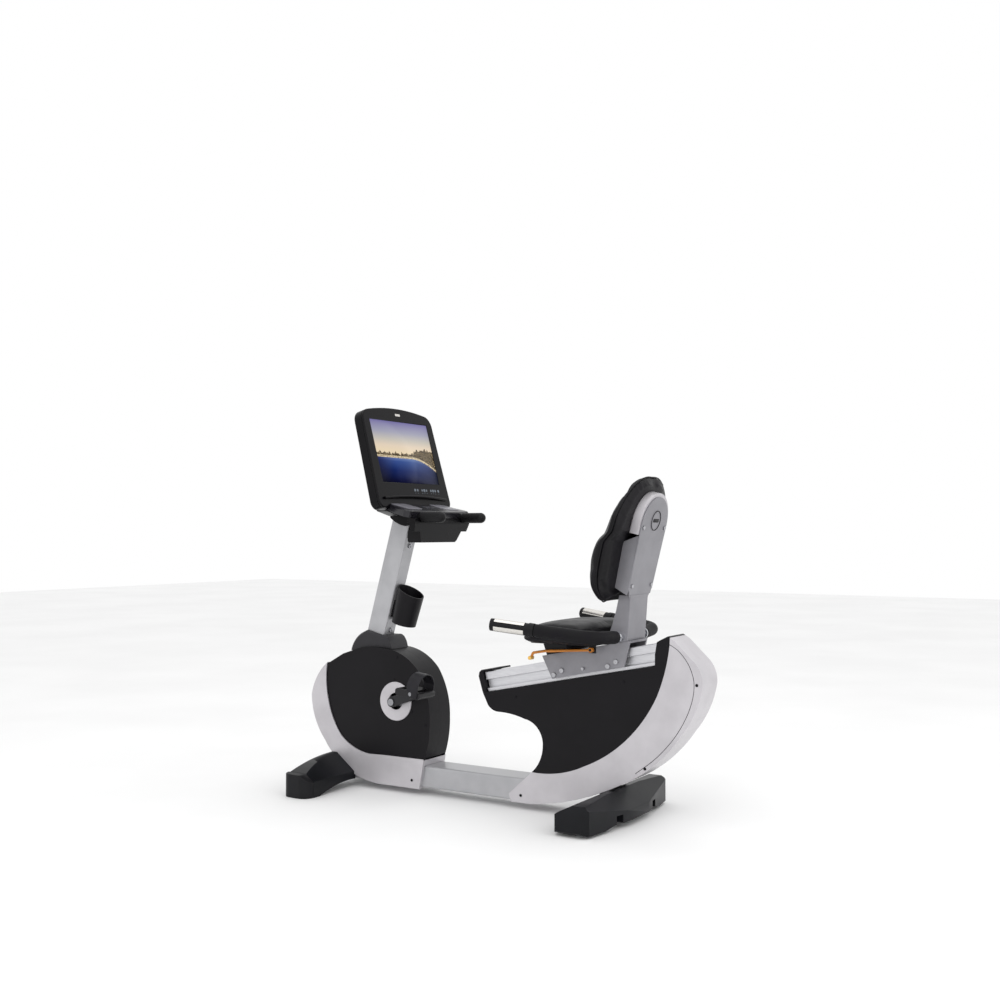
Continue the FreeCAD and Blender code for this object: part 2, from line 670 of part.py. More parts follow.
def cover_screws():
    """Round screw heads on both sides of the covers, as (x, z, cover half width)."""
    spots = [(-390, 487, 65), (-262, 252, 65), (-318, 52, 70), (112, 380, 62), (519, 458, 62), (226, 215, 62),
             (132, 49, 62), (593, 187, 62), (771, 464, 62)]
    spots += [(number(S["crank_x"]) + 78 * math.cos(math.radians(a)), number(S["crank_z"]) + 78 *
               math.sin(math.radians(a)), 65) for a in (97, 215, 335)]
    heads = []
    for x, z, half in spots:
        for side in (-1, 1):
            low, high = sorted((side * half, side * (half + 1.5)))
            heads.append(rod_y("screw", 5 if half != 65 or z > 450 or x > -300 else 4, x, z, low, high))
    node("cover_screws", group("screws", heads))


# ---------------------------------------------------------------------------- drive


def crank_arm(name, side, turn):
    """Tapered crank arm with a spindle boss and a pedal eye, lying along local X."""
    inner, outer = sorted((side * number(S["arm_inner"]), side * number(S["arm_outer"])))
    length = S["crank_length"]
    blade = [(0, -19), (length, -13), (length, 13, length + 13, 0), (0, 19), (0, -19, -19, 0)]
    arm = prism(name + "_blade", "XZ", blade, inner, outer)
    soften(arm, 3, on_plane("Y", S["arm_outer"] * side))
    bores = {"circles": [(0, 0, S["spindle_radius"]), (length, 0, S["pedal_axle"])]}
    cut(arm, "XZ", bores, inner - 1, outer + 1)
    place(arm, S["crank_x"], 0, S["crank_z"], turn)
    node(name, arm)


def crank_set():
    x, z = S["crank_x"], S["crank_z"]
    reach = S["arm_outer"]
    spindle = rod_y("spindle_rod", S["spindle_radius"], x, z, -reach, reach)
    caps = [rod_y("spindle_bolt", 13, x, z, reach, reach + 5), rod_y("spindle_bolt", 13, x, z, -reach - 5, -reach)]
    collars = [rod_y("spindle_collar", 17, x, z, 68, S["arm_inner"]),
               rod_y("spindle_collar", 17, x, z, -S["arm_inner"], -68)]
    node("crank_spindle", fuse("spindle", [spindle] + caps + collars))
    angle = number(S["crank_angle"])
    crank_arm("crank_arm_left", -1, -angle)
    crank_arm("crank_arm_right", 1, 180 - angle)

    pulley = prism("pulley_disc", "XZ", {"circles": [(x, z, S["pulley_radius"])]}, S["pulley_low"], S["pulley_high"])
    holes = [(x + 55 * math.cos(math.radians(a)), z + 55 * math.sin(math.radians(a)), 17) for a in range(0, 360, 60)]
    cut(pulley, "XZ", {"circles": [(x, z, S["spindle_radius"])] + holes}, S["pulley_low"] - 1, S["pulley_high"] + 1)
    node("drive_pulley", pulley)

    bearings = []
    for low, high in ((-38, -24), (24, 38)):
        race = rod_y("bearing_race", 20.9, x, z, low, high)
        bearings.append(subtract("bearing", race, [rod_y("bearing_bore", S["spindle_radius"] + S["running"], x, z,
                                                         low - 1, high + 1)]))
    node("crank_bearings", group("bearings", bearings))


def pedal_spot(side):
    """Pedal axis of the left (-1) or right (+1) crank."""
    angle = math.radians(number(S["crank_angle"]))
    along_x, along_z = -side * math.cos(angle), -side * math.sin(angle)
    return S["crank_x"] + S["crank_length"] * along_x, S["crank_z"] + S["crank_length"] * along_z


def pedals():
    axles = []
    for name, side in (("left", -1), ("right", 1)):
        x, z = pedal_spot(side)
        inner, outer = number(S["pedal_inner"]), number(S["pedal_outer"])
        low, high = sorted((side * number(S["arm_inner"]), side * (outer - 2)))
        axles.append(rod_y("pedal_axle_" + name, S["pedal_axle"], x, z, low, high))
        low, high = sorted((side * inner, side * outer))
        deck = [(-62, -8), (-56, -13), (36, -13), (44, -4), (44, 6), (36, 11), (-56, 11), (-62, 6)]
        body = prism("pedal_deck_" + name, "XZ", deck, low, high)
        cut(body, "XZ", {"circles": [(0, 0, S["pedal_axle"] + S["running"])]}, low - 1, high + 1)
        middle = side * (inner + outer) / 2
        for start in (-48, 9):
            cut(body, "XY", rectangle((start, start + 24), (middle - 34, middle + 34)), 5, 12)
        place(body, x, 0, z, S["pedal_tilt"])
        node("pedal_" + name, body)
        wide = (outer - inner) / 2
        arch = [(-wide - 4, -10), (-wide - 4, 30), (wide + 4, 30, 0, 72), (wide + 4, -10), (wide, -10), (wide, 30),
                (-wide, 30, 0, 67.5), (-wide, -10)]
        strap = prism("strap_" + name, "YZ", arch, -12, 34)
        cut(strap, "XZ", rectangle((-13, 9), (-11, 9)), -wide - 5, wide + 5)
        spot = Placement(Vector(number(x), middle, number(z)), Rotation(Vector(0, 1, 0), number(S["pedal_tilt"])))
        strap.Placement = spot
        node("pedal_strap_" + name, strap)
    node("pedal_axles", group("axles", axles))


def brake():
    """Brake wheel with its small pulley, which runs on the stub axle of the mast socket."""
    x, z = S["brake_x"], S["brake_z"]
    wheel = rod_y("brake_disc", S["brake_radius"], x, z, 34, 45)
    small = rod_y("brake_small_pulley", S["brake_pulley"], x, z, 45, S["pulley_high"])
    bore = rod_y("brake_bore", 8 + S["running"], x, z, 30, 62)
    node("brake_wheel", subtract("brake_rotor", fuse("brake_turning", [wheel, small]), [bore]))


def belt():
    """Belt around both pulleys, a hair clear of them."""
    x1, z1, r1 = (number(S[k]) for k in ("crank_x", "crank_z", "pulley_radius"))
    x2, z2, r2 = (number(S[k]) for k in ("brake_x", "brake_z", "brake_pulley"))
    span, heading = math.hypot(x2 - x1, z2 - z1), math.atan2(z2 - z1, x2 - x1)
    wrap = math.acos((r1 - r2) / span)

    def loop(gap):
        def spot(x, z, radius, angle):
            return x + (radius + gap) * math.cos(angle), z + (radius + gap) * math.sin(angle)

        upper1, lower1 = spot(x1, z1, r1, heading - wrap), spot(x1, z1, r1, heading + wrap)
        upper2, lower2 = spot(x2, z2, r2, heading - wrap), spot(x2, z2, r2, heading + wrap)
        return [upper2, upper1, lower1 + spot(x1, z1, r1, heading + math.pi), lower2,
                upper2 + spot(x2, z2, r2, heading)]

    outer = loop(0.3 + number(S["belt_thick"]))
    inner = loop(0.3)
    ring = prism("belt_ring", "XZ", outer, S["pulley_low"] + 1, S["pulley_high"] - 1)
    cut(ring, "XZ", inner, S["pulley_low"] - 1, S["pulley_high"] + 1)
    node("drive_belt", ring)


# ---------------------------------------------------------------------------- rail and seat


def rail():
    half, top = S["rail_half"], S["rail_high"]
    low, high, deep = S["groove_low"], S["groove_high"], S["rail_half"] - S["groove_depth"]
    section = [(-half, 0), (half, 0), (half, low), (deep, low), (deep, high), (half, high), (half, top), (-half, top),
               (-half, high), (-deep, high), (-deep, low), (-half, low)]
    body = prism("rail_section", "YZ", section, S["rail_start"], S["rail_end"])
    soften(body, 2.5, lambda edge: along("X")(edge) and abs(edge.BoundBox.YMax) > 49)
    cut(body, "YZ", rectangle((8 - deep, deep - 8), (8, top - 8)), S["rail_start"], S["rail_end"])
    node("seat_rail", place_on_rail(body))


def carriage():
    top, thick, half = S["plate_top"], S["plate_thick"], S["plate_half"]
    side = [(247, 11), (518, 13), (556, top), (224, top)]
    weld = prism("carriage_plates", "XZ", side, -half, half)
    under = [(200, 0), (600, 0), (600, top - thick), (200, top - thick)]
    cut(weld, "XZ", under, thick - half, half - thick)
    pin = [(370, S["roller_height"], 5.05)]
    cut(weld, "XZ", {"circles": pin}, -half - 1, -half + thick + 1)
    node("seat_carriage", place_on_rail(weld))

    bolts = []
    for along_rail in ("roller_front", "roller_rear"):
        for s in (-1, 1):
            low, high = sorted((s * (number(S["rail_half"]) - 11), s * (number(half) - 8)))
            bolts.append(rod_y("roller_axle", S["roller_axle"], S[along_rail], S["roller_height"], low, high))
            low, high = sorted((s * number(half), s * (number(half) + 5)))
            bolts.append(rod_y("roller_bolt", 8, S[along_rail] - 14, S["roller_height"] - 5, low, high))
            bolts.append(rod_y("roller_bolt", 8, S[along_rail] + 18, S["roller_height"] + 5, low, high))
    placed = group("carriage_bolts", bolts)
    screws = []
    for y, w in ((-72, 45), (72, 45), (-80, 238), (80, 238)):
        screw = solid("Cylinder", "back_screw", Radius=7, Height=4)
        screws.append(place(screw, 0, y, w, 90))
    back = place_on_back(group("back_screws", screws))
    node("seat_fasteners", group("fasteners", [place_on_rail(placed), back]))

    for name in ("roller_front", "roller_rear"):
        wheels = []
        for s in (-1, 1):
            low, high = sorted((s * 39, s * 49.5))
            wheel = rod_y("wheel", S["roller_radius"], S[name], S["roller_height"], low, high)
            bore = rod_y("wheel_bore", S["roller_axle"] + S["running"], S[name], S["roller_height"], low - 1, high + 1)
            wheels.append(subtract("roller_wheel", wheel, [bore]))
        node("rollers" + name[6:], place_on_rail(group(name + "_pair", wheels)))

    shoe = box("shoe_block", (350, 390), (-57, -38.3), (17, 39))
    pin = rod_y("shoe_pin", 5, 370, S["roller_height"], -76, -57)
    node("clamp_shoe", place_on_rail(fuse("shoe", [shoe, pin])))


def seat_back():
    half, wall = S["column_half"], S["column_wall"]
    gusset = [(464, 575.9), (469, 611), (480, 640), (495, 689), (506, 738), (549, 738), (546, 725), (536, 590.4)]
    column = prism("column", "XZ", gusset, -half, half)
    hollow = [(450, 560), (450, 760), (542, 760), (540, 725), (530, 596), (464, 583)]
    cut(column, "XZ", hollow, wall - half, half - wall)
    plate_outline = [(-67, 0), (67, 0), (88, 34), (S["back_radius"], 245),
                     (-S["back_radius"], 245, 0, S["back_radius"] + 245), (-88, 34)]
    plate = place_on_back(prism("back_plate_body", "YZ", plate_outline, -S["back_plate"], 0))
    flanges = []
    for s in (-1, 1):
        low, high = sorted((s * 85, s * 90))
        flange = [(544.5, 738), (497, 765), (529, 910), (583, 930), (591.5, 929)]
        flanges.append(prism("side_flange", "XZ", flange, low, high))
    node("seat_back_frame", fuse("back_frame", [column, plate] + flanges))

    rim = [(-105, 214), (105, 214), (105, 247), (-105, 247, 0, 352)]
    cover = prism("rim_outer", "YZ", rim, -38, -S["back_plate"])
    soften(cover, 8, lambda edge: on_plane("X", -38)(edge) and edge.BoundBox.ZMax > 240)
    inner = [(-98, 221), (98, 221), (98, 247), (-98, 247, 0, 345)]
    cut(cover, "YZ", inner, -39, -12)
    node("back_cover", place_on_back(cover))


def cushions():
    """Plain closed solids of the two cushions, with their true size and place."""
    wide = S["cushion_half"]
    side = [(489, 706), (494, 765), (526, 912), (555, 945), (590, 1078), (606, 1108), (588, 1134, 604, 1130),
            (560, 1084, 570, 1114), (475, 932), (428, 819, 437, 878), (489, 706, 440, 735)]
    front = [(-135, 704), (135, 704), (wide, 850, 192, 765), (0, 1136, 163, 1058), (-wide, 850, -163, 1058),
             (-135, 704, -192, 765)]
    back = overlap("back_form", prism("back_side", "XZ", side, -wide, wide),
                   prism("back_front", "YZ", front, 400, 640))
    node("backrest_cushion", back)
    profile_side = [(190, 580.3), (462, 580.3), (462, 650), (300, 646, 380, 650), (215, 626, 250, 640),
                    (190, 580.3, 190, 606)]
    plan = [(240, -wide), (440, -wide), (462, -170), (462, 170), (440, wide), (240, wide), (190, 110, 200, 180),
            (190, -110), (240, -wide, 200, -180)]
    pad = overlap("pad_form", prism("pad_side", "XZ", profile_side, -wide, wide),
                  prism("pad_plan", "XY", plan, 570, 660))
    node("seat_pad", pad)

    pan = prism("pan_plate", "XZ", [(200, 572), (435, 572), (435, 580), (200, 580)], -108, 108)
    leg = prism("pan_leg", "XZ", [(245, 572), (258, 534.6), (328, 548.8), (332, 572)], -104, 104)
    cut(leg, "XZ", [(250, 566), (260, 541), (322, 553), (326, 566)], -98, 98)
    hanger = box("lever_hanger", (418, 444), (-112, -107), (550, 578))
    pin = rod_y("lever_pin", 4, 431, 561, -130, -108)
    node("seat_pan", fuse("pan", [pan, leg, hanger, pin]))


def run_of(points, bend):
    """Straight runs through the points, joined by one tangent arc of radius bend at each corner."""
    edges, start = [], points[0]
    for before, corner, after in zip(points, points[1:], points[2:]):
        towards, away = (before - corner).normalize(), (after - corner).normalize()
        half_angle = towards.getAngle(away) / 2
        back = bend / math.tan(half_angle)
        first, last = corner + towards * back, corner + away * back
        middle = corner + (towards + away).normalize() * (bend / math.sin(half_angle) - bend)
        edges += [Part.LineSegment(start, first).toShape(), Part.Arc(first, middle, last).toShape()]
        start = last
    edges.append(Part.LineSegment(start, points[-1]).toShape())
    return Part.Wire(edges)


def tube_solid(path, radius):
    """Round bar swept along a wire of lines and arcs."""
    first = path.Edges[0]
    start = first.valueAt(first.FirstParameter)
    heading = first.tangentAt(first.FirstParameter)
    ring = Part.Wire([Part.makeCircle(radius, start, heading)])
    return path.makePipeShell([ring], True, False)


def shaped(name, shape):
    """A feature whose shape is made with Part's own functions."""
    obj = doc.addObject("Part::Feature", name)
    obj.Shape = shape
    return obj


def arms():
    """Bent arm tubes beside the seat with foam sleeves, grips and contact plates."""
    side, tube, foam, grip = (number(S[k]) for k in ("arm_side", "arm_tube", "foam_radius", "grip_radius"))
    tip, bend, root = Vector(172, -side, 646), Vector(496, -236, 610), Vector(514, -60, 602)
    heading = (bend - tip).normalize()
    grip_end, foam_start = tip + heading * 128, tip + heading * 146
    inward = (bend - root).normalize()
    bar = shaped("arm_bar", tube_solid(run_of([tip + heading * 4, bend, root], 70), tube))
    column = box("arm_column_room", (480, 560), (-S["column_half"], 0), (560, 650))
    bar = subtract("arm_bar_cut", bar, [column])
    near_root = root + inward * 45
    sleeve = tube_solid(run_of([foam_start, bend, near_root], 70), foam)
    sleeve = sleeve.cut(tube_solid(run_of([foam_start - heading, bend, root], 70), tube))
    sleeve = shaped("foam_solid", sleeve)
    collar = solid("Cylinder", "arm_collar", Radius=foam - 1, Height=7)
    collar.Placement = Placement(root + inward * 36, Rotation(Vector(0, 0, 1), bend - root))
    handle = solid("Cylinder", "grip_core", Radius=grip, Height=128)
    cone = solid("Cylinder", "grip_collar", Radius=grip + 2, Height=18)
    turn = Rotation(Vector(0, 0, 1), heading)
    handle.Placement, cone.Placement = Placement(tip, turn), Placement(grip_end, turn)
    handle = fuse("grip_body", [handle, cone])
    plates = []
    for up in (1, -1):
        blank = solid("Cylinder", "contact_blank", Radius=grip + 0.8, Height=100)
        core = solid("Cylinder", "contact_core", Radius=grip - 1.5, Height=104)
        window = solid("Box", "contact_window", Length=24, Width=60, Height=100)
        blank.Placement = Placement(tip + heading * 14, turn)
        core.Placement = Placement(tip + heading * 12, turn)
        local = Placement(tip + heading * 14, turn).multiply(
            Placement(Vector(-12 - up * 20, -30, 0), Rotation()))
        window.Placement = local
        shell = subtract("contact_shell", blank, [core])
        plates.append(overlap("contact_plate", shell, window))
    handle = subtract("grip_bored", handle, [shaped("grip_bore", tube_solid(
        run_of([tip + heading * 4, bend, root], 70), tube))] + plates)
    tubes = fuse("arm_weld", [bar, collar])
    for name, left in (("arm_tubes", tubes), ("arm_foams", sleeve), ("side_grips", handle),
                       ("grip_contacts", group("contact_pair", plates))):
        node(name, group(name + "_pair", [left, mirrored(name + "_right", left)]))


def lever():
    """Seat release lever under the left edge of the cushion."""
    points = [Vector(431, -120, 561), Vector(260, -120, 549), Vector(215, -120, 541), Vector(207, -120, 524)]
    rod = shaped("lever_rod", tube_solid(run_of(points, 8), 4.5))
    hub = rod_y("lever_hub", 8, 431, 561, -127, -113)
    tip = rod_y("lever_tip", 6, 207, 524, -128, -112)
    bore = rod_y("lever_bore", 4 + S["running"], 431, 561, -135, -105)
    node("release_lever", subtract("lever_body", fuse("lever_blank", [rod, hub, tip]), [bore]))


# ---------------------------------------------------------------------------- console and holder


def console_space(name):
    """Room for the console, a little larger than its back shell and bezel."""
    side = rectangle((-S["console_back"] - 1, 0.4), (-28, 300))
    return place_on_console(prism(name, "XZ", side, -235, 235))


def console():
    foot, head = S["console_foot"], S["console_head"]
    outline = [(-foot + 30, -27), (foot - 30, -27), (foot, 3, foot - 8, -18), (head, 303),
               (head - 36, 343, head - 11, 329), (36 - head, 343, 0, 358), (-head, 303, 11 - head, 329), (-foot, 3),
               (-foot + 30, -27, 8 - foot, -18)]
    back = prism("console_outer", "YZ", outline, -S["console_back"], -S["bezel"])
    inner = [(8 - foot, 20), (foot - 8, 20), (head - 14, 314), (0, 336), (14 - head, 314)]
    cut(back, "YZ", inner, 4 - S["console_back"], 1 - S["bezel"])
    node("console_back_shell", place_on_console(back))

    bezel = prism("bezel_outer", "YZ", outline, -S["bezel"], 0)
    half = S["screen_half"]
    cut(bezel, "YZ", rectangle((-half, half), (S["screen_low"], S["screen_high"])), -20, 5)
    node("console_bezel", place_on_console(bezel))

    edge = 8
    panel = prism("screen_body", "YZ", rectangle((-half - edge, half + edge), (S["screen_low"] - edge,
                  S["screen_high"] + edge)), -22, -S["bezel"])
    add(panel, "YZ", rectangle((-half, half), (S["screen_low"], S["screen_high"])), -S["bezel"], -2)
    node("screen_panel", place_on_console(panel))

    deck = prism("deck_plate", "XY", [(0, -158), (60, -184), (108, -196), (128, -166, 125, -188), (128, 166, 140, 0),
                                      (108, 196, 125, 188), (60, 184), (0, 158)], -S["deck_thick"], 0)
    soften(deck, 6, lambda edge: on_plane("Z", 0)(edge) and edge.BoundBox.XMax > 61)
    for y in (-16, 16):
        cut(deck, "XY", rectangle((58, 84), (y - 12.4, y + 12.4)), -7, 1)
    tools = [console_space("deck_console_room")]
    for s in (-1, 1):
        tools.append(rod_x("deck_grip_room", 14.4, s * S["bar_side"], S["bar_z"], -273, -220))
    node("console_deck", subtract("deck_trimmed", place_on_deck(deck), tools))
    for name, y in (("key_down", -16), ("key_up", 16)):
        cap = solid("Box", name + "_cap", Length=25.2, Width=24, Height=8)
        cap.Placement = Placement(Vector(58.4, y - 12, -5), Rotation())
        local = group(name + "_local", [cap])
        node(name, place_on_deck(local))


def pod():
    """Pod under the deck on a web from the mast, the neck around the mast top, and the two console grips."""
    wide, low, high, front = S["pod_half"], S["pod_low"], S["pod_high"], S["pod_front"]
    face = [(-150, high), (-150, 974), (-130, 966), (-130, 941), (-114, low + 6), (-106, low), (106, low),
            (114, low + 6), (130, 941), (130, 966), (150, 974), (150, high)]
    side = [(front - 77, low), (front - 19, low), (front - 8, 943), (front, 970), (front + 3, high),
            (front - 41, high), (front - 54, 966)]
    block = overlap("pod_block", prism("pod_face", "YZ", face, -330, -200), prism("pod_side", "XZ", side, -151, 151))
    face = [(-wide, high), (-wide, 970), (8 - wide, 943), (wide - 8, 943), (wide, 970), (wide, high)]
    side = [(front - 26, 943), (front - 8, 943), (front, 970), (front + 3, high), (front - 23, high),
            (front - 26, 970)]
    flange = overlap("pod_flange", prism("flange_face", "YZ", face, -330, -200),
                     prism("flange_side", "XZ", side, -wide - 1, wide + 1))
    web = prism("pod_web", "XZ", [(-400, 915), (-290, 915), (-275, 1000), (-344.5, 1000), (-344.5, 961), (-400, 961)],
                -14, 14)
    slot = prism("pod_mast_slot", "XZ", mast_outline(low - 10, high + 10, 0), -S["mast_half"], S["mast_half"])
    hollow = [(front - 56, 950), (front - 14, 950), (front - 8, 975), (front - 5, high + 5), (front - 37, high + 5)]
    trough = [(-420, 1046), (-367, 1046 - 26.8), (-220, 1046 - 26.8 - 33.9), (-220, 1100), (-420, 1100)]
    tools = [slot, prism("pod_hollow", "XZ", hollow, -146, 146), prism("pod_deck_room", "XZ", trough, -200, 200)]
    for s in (-1, 1):
        tools.append(rod_x("grip_hole", 14.1, s * S["bar_side"], S["bar_z"], -250, -220))
    node("console_pod", subtract("pod_body", fuse("pod_form", [block, flange, web]), tools))

    belly = prism("neck_belly", "YZ", [(-160, 1036), (-145, 1016), (-75, 1000), (75, 1000), (145, 1016), (160, 1036)],
                  -420, -374)
    collar = prism("neck_collar", "XZ", [(-437, 1012), (-437, 995), (-369, 963, -407, 975), (-345, 971),
                                         (-345, 1012)], -45, 45)
    neck_slot = prism("neck_slot", "XZ", mast_outline(900, S["mast_top"] + 0.5, -0.4), -33.4, 33.4)
    deck_room = prism("neck_deck_room", "XZ", trough, -210, 210)
    node("console_neck", subtract("neck_body", fuse("neck_form", [belly, collar]),
                                  [neck_slot, deck_room, console_space("neck_console_room")]))

    bars, grips = [], []
    cross = rod_y("grip_cross", 12, -258, 978, -S["bar_side"] - 14, S["bar_side"] + 14)
    for s in (-1, 1):
        bars.append(rod_x("grip_tube", 14, s * S["bar_side"], S["bar_z"], -258, -150))
        sleeve = rod_x("grip_sleeve", 19, s * S["bar_side"], S["bar_z"], -228, -153)
        dome = solid("Sphere", "grip_dome", Radius=19)
        place(dome, -153, s * S["bar_side"], S["bar_z"])
        bore = rod_x("grip_bore", 14.01, s * S["bar_side"], S["bar_z"], -310, -149)
        grips.append(subtract("front_grip", fuse("grip_form", [sleeve, dome]), [bore]))
    node("front_handlebar", fuse("handlebar", bars + [cross]))
    node("front_grips", group("front_grip_pair", grips))


def bottle_holder():
    lean = math.degrees(math.atan(number(S["mast_slope"])))
    outer = solid("Cone", "cup_outer", Radius1=45, Radius2=52, Height=160)
    inner = solid("Cone", "cup_inner", Radius1=41.3, Radius2=48.3, Height=160)
    inner.Placement = Placement(Vector(0, 0, 4), Rotation())
    cup = subtract("cup", outer, [inner])
    slant = solid("Box", "cup_slant", Length=200, Width=200, Height=120)
    slant.Placement = Placement(Vector(-100, -100, 0), Rotation())
    lid = group("cup_lid", [slant])
    lid.Placement = Placement(Vector(0, 0, 124), Rotation(Vector(0, 1, 0), 14))
    cup = subtract("cup_slanted", cup, [lid])
    level = 603
    place(cup, mast_at(level) + S["mast_depth"] + 55, 0, level, lean)
    saddle = prism("cup_saddle", "XZ", [(mast_at(628) + S["mast_depth"], 628), (mast_at(628) + S["mast_depth"] + 8.5, 628),
                                        (mast_at(690) + S["mast_depth"] + 6.5, 690),
                                        (mast_at(690) + S["mast_depth"], 690)], -18, 18)
    node("bottle_holder", fuse("holder", [cup, saddle]))


def build():
    for make in (main_beam, crossbars, frame_brackets, mast_post, frame_bolts, feet, front_housing, boot,
                 rear_housing, cover_screws, crank_set, pedals, brake, belt, rail, carriage, seat_back, cushions,
                 arms, lever, console, pod, bottle_holder):
        make()
        doc.recompute()
        print("made", make.__name__, flush=True)


def export():
    """Writes each sub-part after checking every object and shape."""
    failed = [o.Name for o in doc.Objects if "Invalid" in o.State or "Error" in o.State]
    bad = [name for name, obj in NODES.items() if obj.Shape.isNull() or not obj.Shape.isValid() or not obj.Shape.Solids]
    if failed or bad:
        raise ValueError(f"failed objects {failed}, failed sub-parts {bad}")
    os.makedirs("parts", exist_ok=True)
    for name, obj in NODES.items():
        obj.Shape.exportStep(f"parts/{name}.step")
    print(len(NODES), "sub-parts written")


build()
export()
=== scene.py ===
"""Looks of the recumbent exercise bike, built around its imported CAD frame.

The frame is in metres, with +X towards the seat, +Y to the side away from the camera and +Z up. Shapes
that are easier to read in millimetres are written so, and MM turns them into metres."""

import json
import math

import bmesh
import bpy
from mathutils import Matrix, Vector
from mathutils.kdtree import KDTree

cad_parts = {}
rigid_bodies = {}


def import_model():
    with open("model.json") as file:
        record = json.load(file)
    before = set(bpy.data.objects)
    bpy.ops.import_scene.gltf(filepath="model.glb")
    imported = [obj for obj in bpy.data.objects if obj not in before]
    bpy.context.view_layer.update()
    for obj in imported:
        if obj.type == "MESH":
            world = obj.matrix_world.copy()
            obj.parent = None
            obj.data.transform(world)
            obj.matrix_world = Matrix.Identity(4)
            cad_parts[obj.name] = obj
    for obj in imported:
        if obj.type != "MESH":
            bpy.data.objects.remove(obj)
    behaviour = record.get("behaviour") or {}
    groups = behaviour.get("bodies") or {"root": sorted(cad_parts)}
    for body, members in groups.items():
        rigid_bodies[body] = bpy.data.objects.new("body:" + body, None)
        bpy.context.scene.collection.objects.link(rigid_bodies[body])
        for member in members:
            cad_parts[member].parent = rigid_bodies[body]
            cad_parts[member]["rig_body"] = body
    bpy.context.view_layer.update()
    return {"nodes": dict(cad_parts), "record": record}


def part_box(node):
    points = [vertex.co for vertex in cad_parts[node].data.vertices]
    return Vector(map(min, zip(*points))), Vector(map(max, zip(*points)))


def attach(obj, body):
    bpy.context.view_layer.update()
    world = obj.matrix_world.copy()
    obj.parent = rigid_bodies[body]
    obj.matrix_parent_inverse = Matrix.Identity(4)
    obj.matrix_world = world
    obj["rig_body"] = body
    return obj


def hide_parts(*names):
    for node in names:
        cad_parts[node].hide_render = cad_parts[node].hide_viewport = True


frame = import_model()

NODES = frame["nodes"]
BODY = {name: obj["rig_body"] for name, obj in NODES.items()}
SLOT = {row["node"]: row["material_slot"] for row in frame["record"]["subparts"]}
MM = 0.001

# ------------------------------------------------------------------ camera and light


def place_camera():
    """Camera at eye height in front of the left-hand side, looking level at the seat."""
    data = bpy.data.cameras.new("studio_camera")
    camera = bpy.data.objects.new("studio_camera", data)
    bpy.context.scene.collection.objects.link(camera)
    camera.location = (2.1983, -3.5209, 0.9447)
    camera.rotation_euler = (math.radians(91.51), 0, math.radians(31.85))
    data.sensor_width = 36
    data.lens = 42.51
    data.clip_end = 60
    bpy.context.scene.camera = camera


def lamp(name, place, target, size, power):
    """Large soft panel light aimed at a point."""
    data = bpy.data.lights.new(name, "AREA")
    data.shape = "RECTANGLE"
    data.size, data.size_y = size
    data.energy = power
    panel = bpy.data.objects.new(name, data)
    bpy.context.scene.collection.objects.link(panel)
    panel.location = place
    panel.rotation_euler = (Vector(target) - Vector(place)).to_track_quat("-Z", "Y").to_euler()


def light_studio():
    """Even white surroundings, with a key panel, a weak panel overhead and one behind the seat."""
    scene = bpy.context.scene
    scene.view_settings.view_transform = "Standard"
    world = bpy.data.worlds.new("studio_white")
    scene.world = world
    world.use_nodes = True
    backdrop = world.node_tree.nodes["Background"]
    backdrop.inputs["Color"].default_value = (1, 1, 1, 1)
    backdrop.inputs["Strength"].default_value = 1.0
    lamp("key_panel", (1.2, -3.6, 3.0), (0.2, 0, 0.5), (2.2, 2.2), 26)
    lamp("top_panel", (0.2, 0.2, 3.8), (0, 0, 0.4), (3.0, 3.0), 18)
    lamp("rear_panel_light", (3.2, -0.6, 1.8), (0.4, 0, 0.6), (1.6, 2.0), 12)


# ------------------------------------------------------------------ materials


def colour(hexa, alpha=1.0):
    """Linear colour of an sRGB hex value."""
    parts = [int(hexa[i:i + 2], 16) / 255 for i in (1, 3, 5)]
    return tuple(c / 12.92 if c <= 0.04045 else ((c + 0.055) / 1.055) ** 2.4 for c in parts) + (alpha,)


def add(material, kind, settings=None, links=None):
    """Adds a node with its settings and links. Sockets go by name or number."""
    node = material.node_tree.nodes.new("ShaderNode" + kind)
    for key, value in (settings or {}).items():
        if isinstance(key, int) or key in node.inputs:
            node.inputs[key].default_value = value
        else:
            setattr(node, key, value)
    for key, (source, output) in (links or {}).items():
        material.node_tree.links.new(source.outputs[output], node.inputs[key])
    return node


def surface(name, base, rough, **settings):
    """A material with one Principled shader, whose constants sit on its own sockets."""
    material = bpy.data.materials.new(name)
    material.use_nodes = True
    material.node_tree.nodes.clear()
    values = {"Base Color": colour(base), "Roughness": rough, **settings}
    shader = add(material, "BsdfPrincipled", values)
    add(material, "OutputMaterial", {}, {"Surface": (shader, "BSDF")})
    return material, shader


def link(material, source, output, target, socket):
    """Joins an output of one shader node to a socket of another."""
    material.node_tree.links.new(source.outputs[output], target.inputs[socket])


def vary(material, shader, light, dark, gloss, size, stretch=(1, 1, 1)):
    """Colour from dark to light and roughness between the two gloss values, in patches about size
    millimetres across."""
    where = add(material, "TexCoord")
    placed = add(material, "Mapping", {"Scale": stretch}, {"Vector": (where, "Object")})
    patches = add(material, "TexNoise", {"Scale": 1000 / size, "Detail": 3.0},
                  {"Vector": (placed, "Vector")})
    ramp = add(material, "ValToRGB", {}, {"Fac": (patches, "Fac")})
    ramp.color_ramp.elements[0].position, ramp.color_ramp.elements[1].position = 0.35, 0.65
    ramp.color_ramp.elements[0].color, ramp.color_ramp.elements[1].color = colour(dark), colour(light)
    link(material, ramp, "Color", shader, "Base Color")
    spread = {"From Min": 0.3, "From Max": 0.7, "To Min": gloss[0], "To Max": gloss[1]}
    span = add(material, "MapRange", spread, {"Value": (patches, "Fac")})
    link(material, span, "Result", shader, "Roughness")


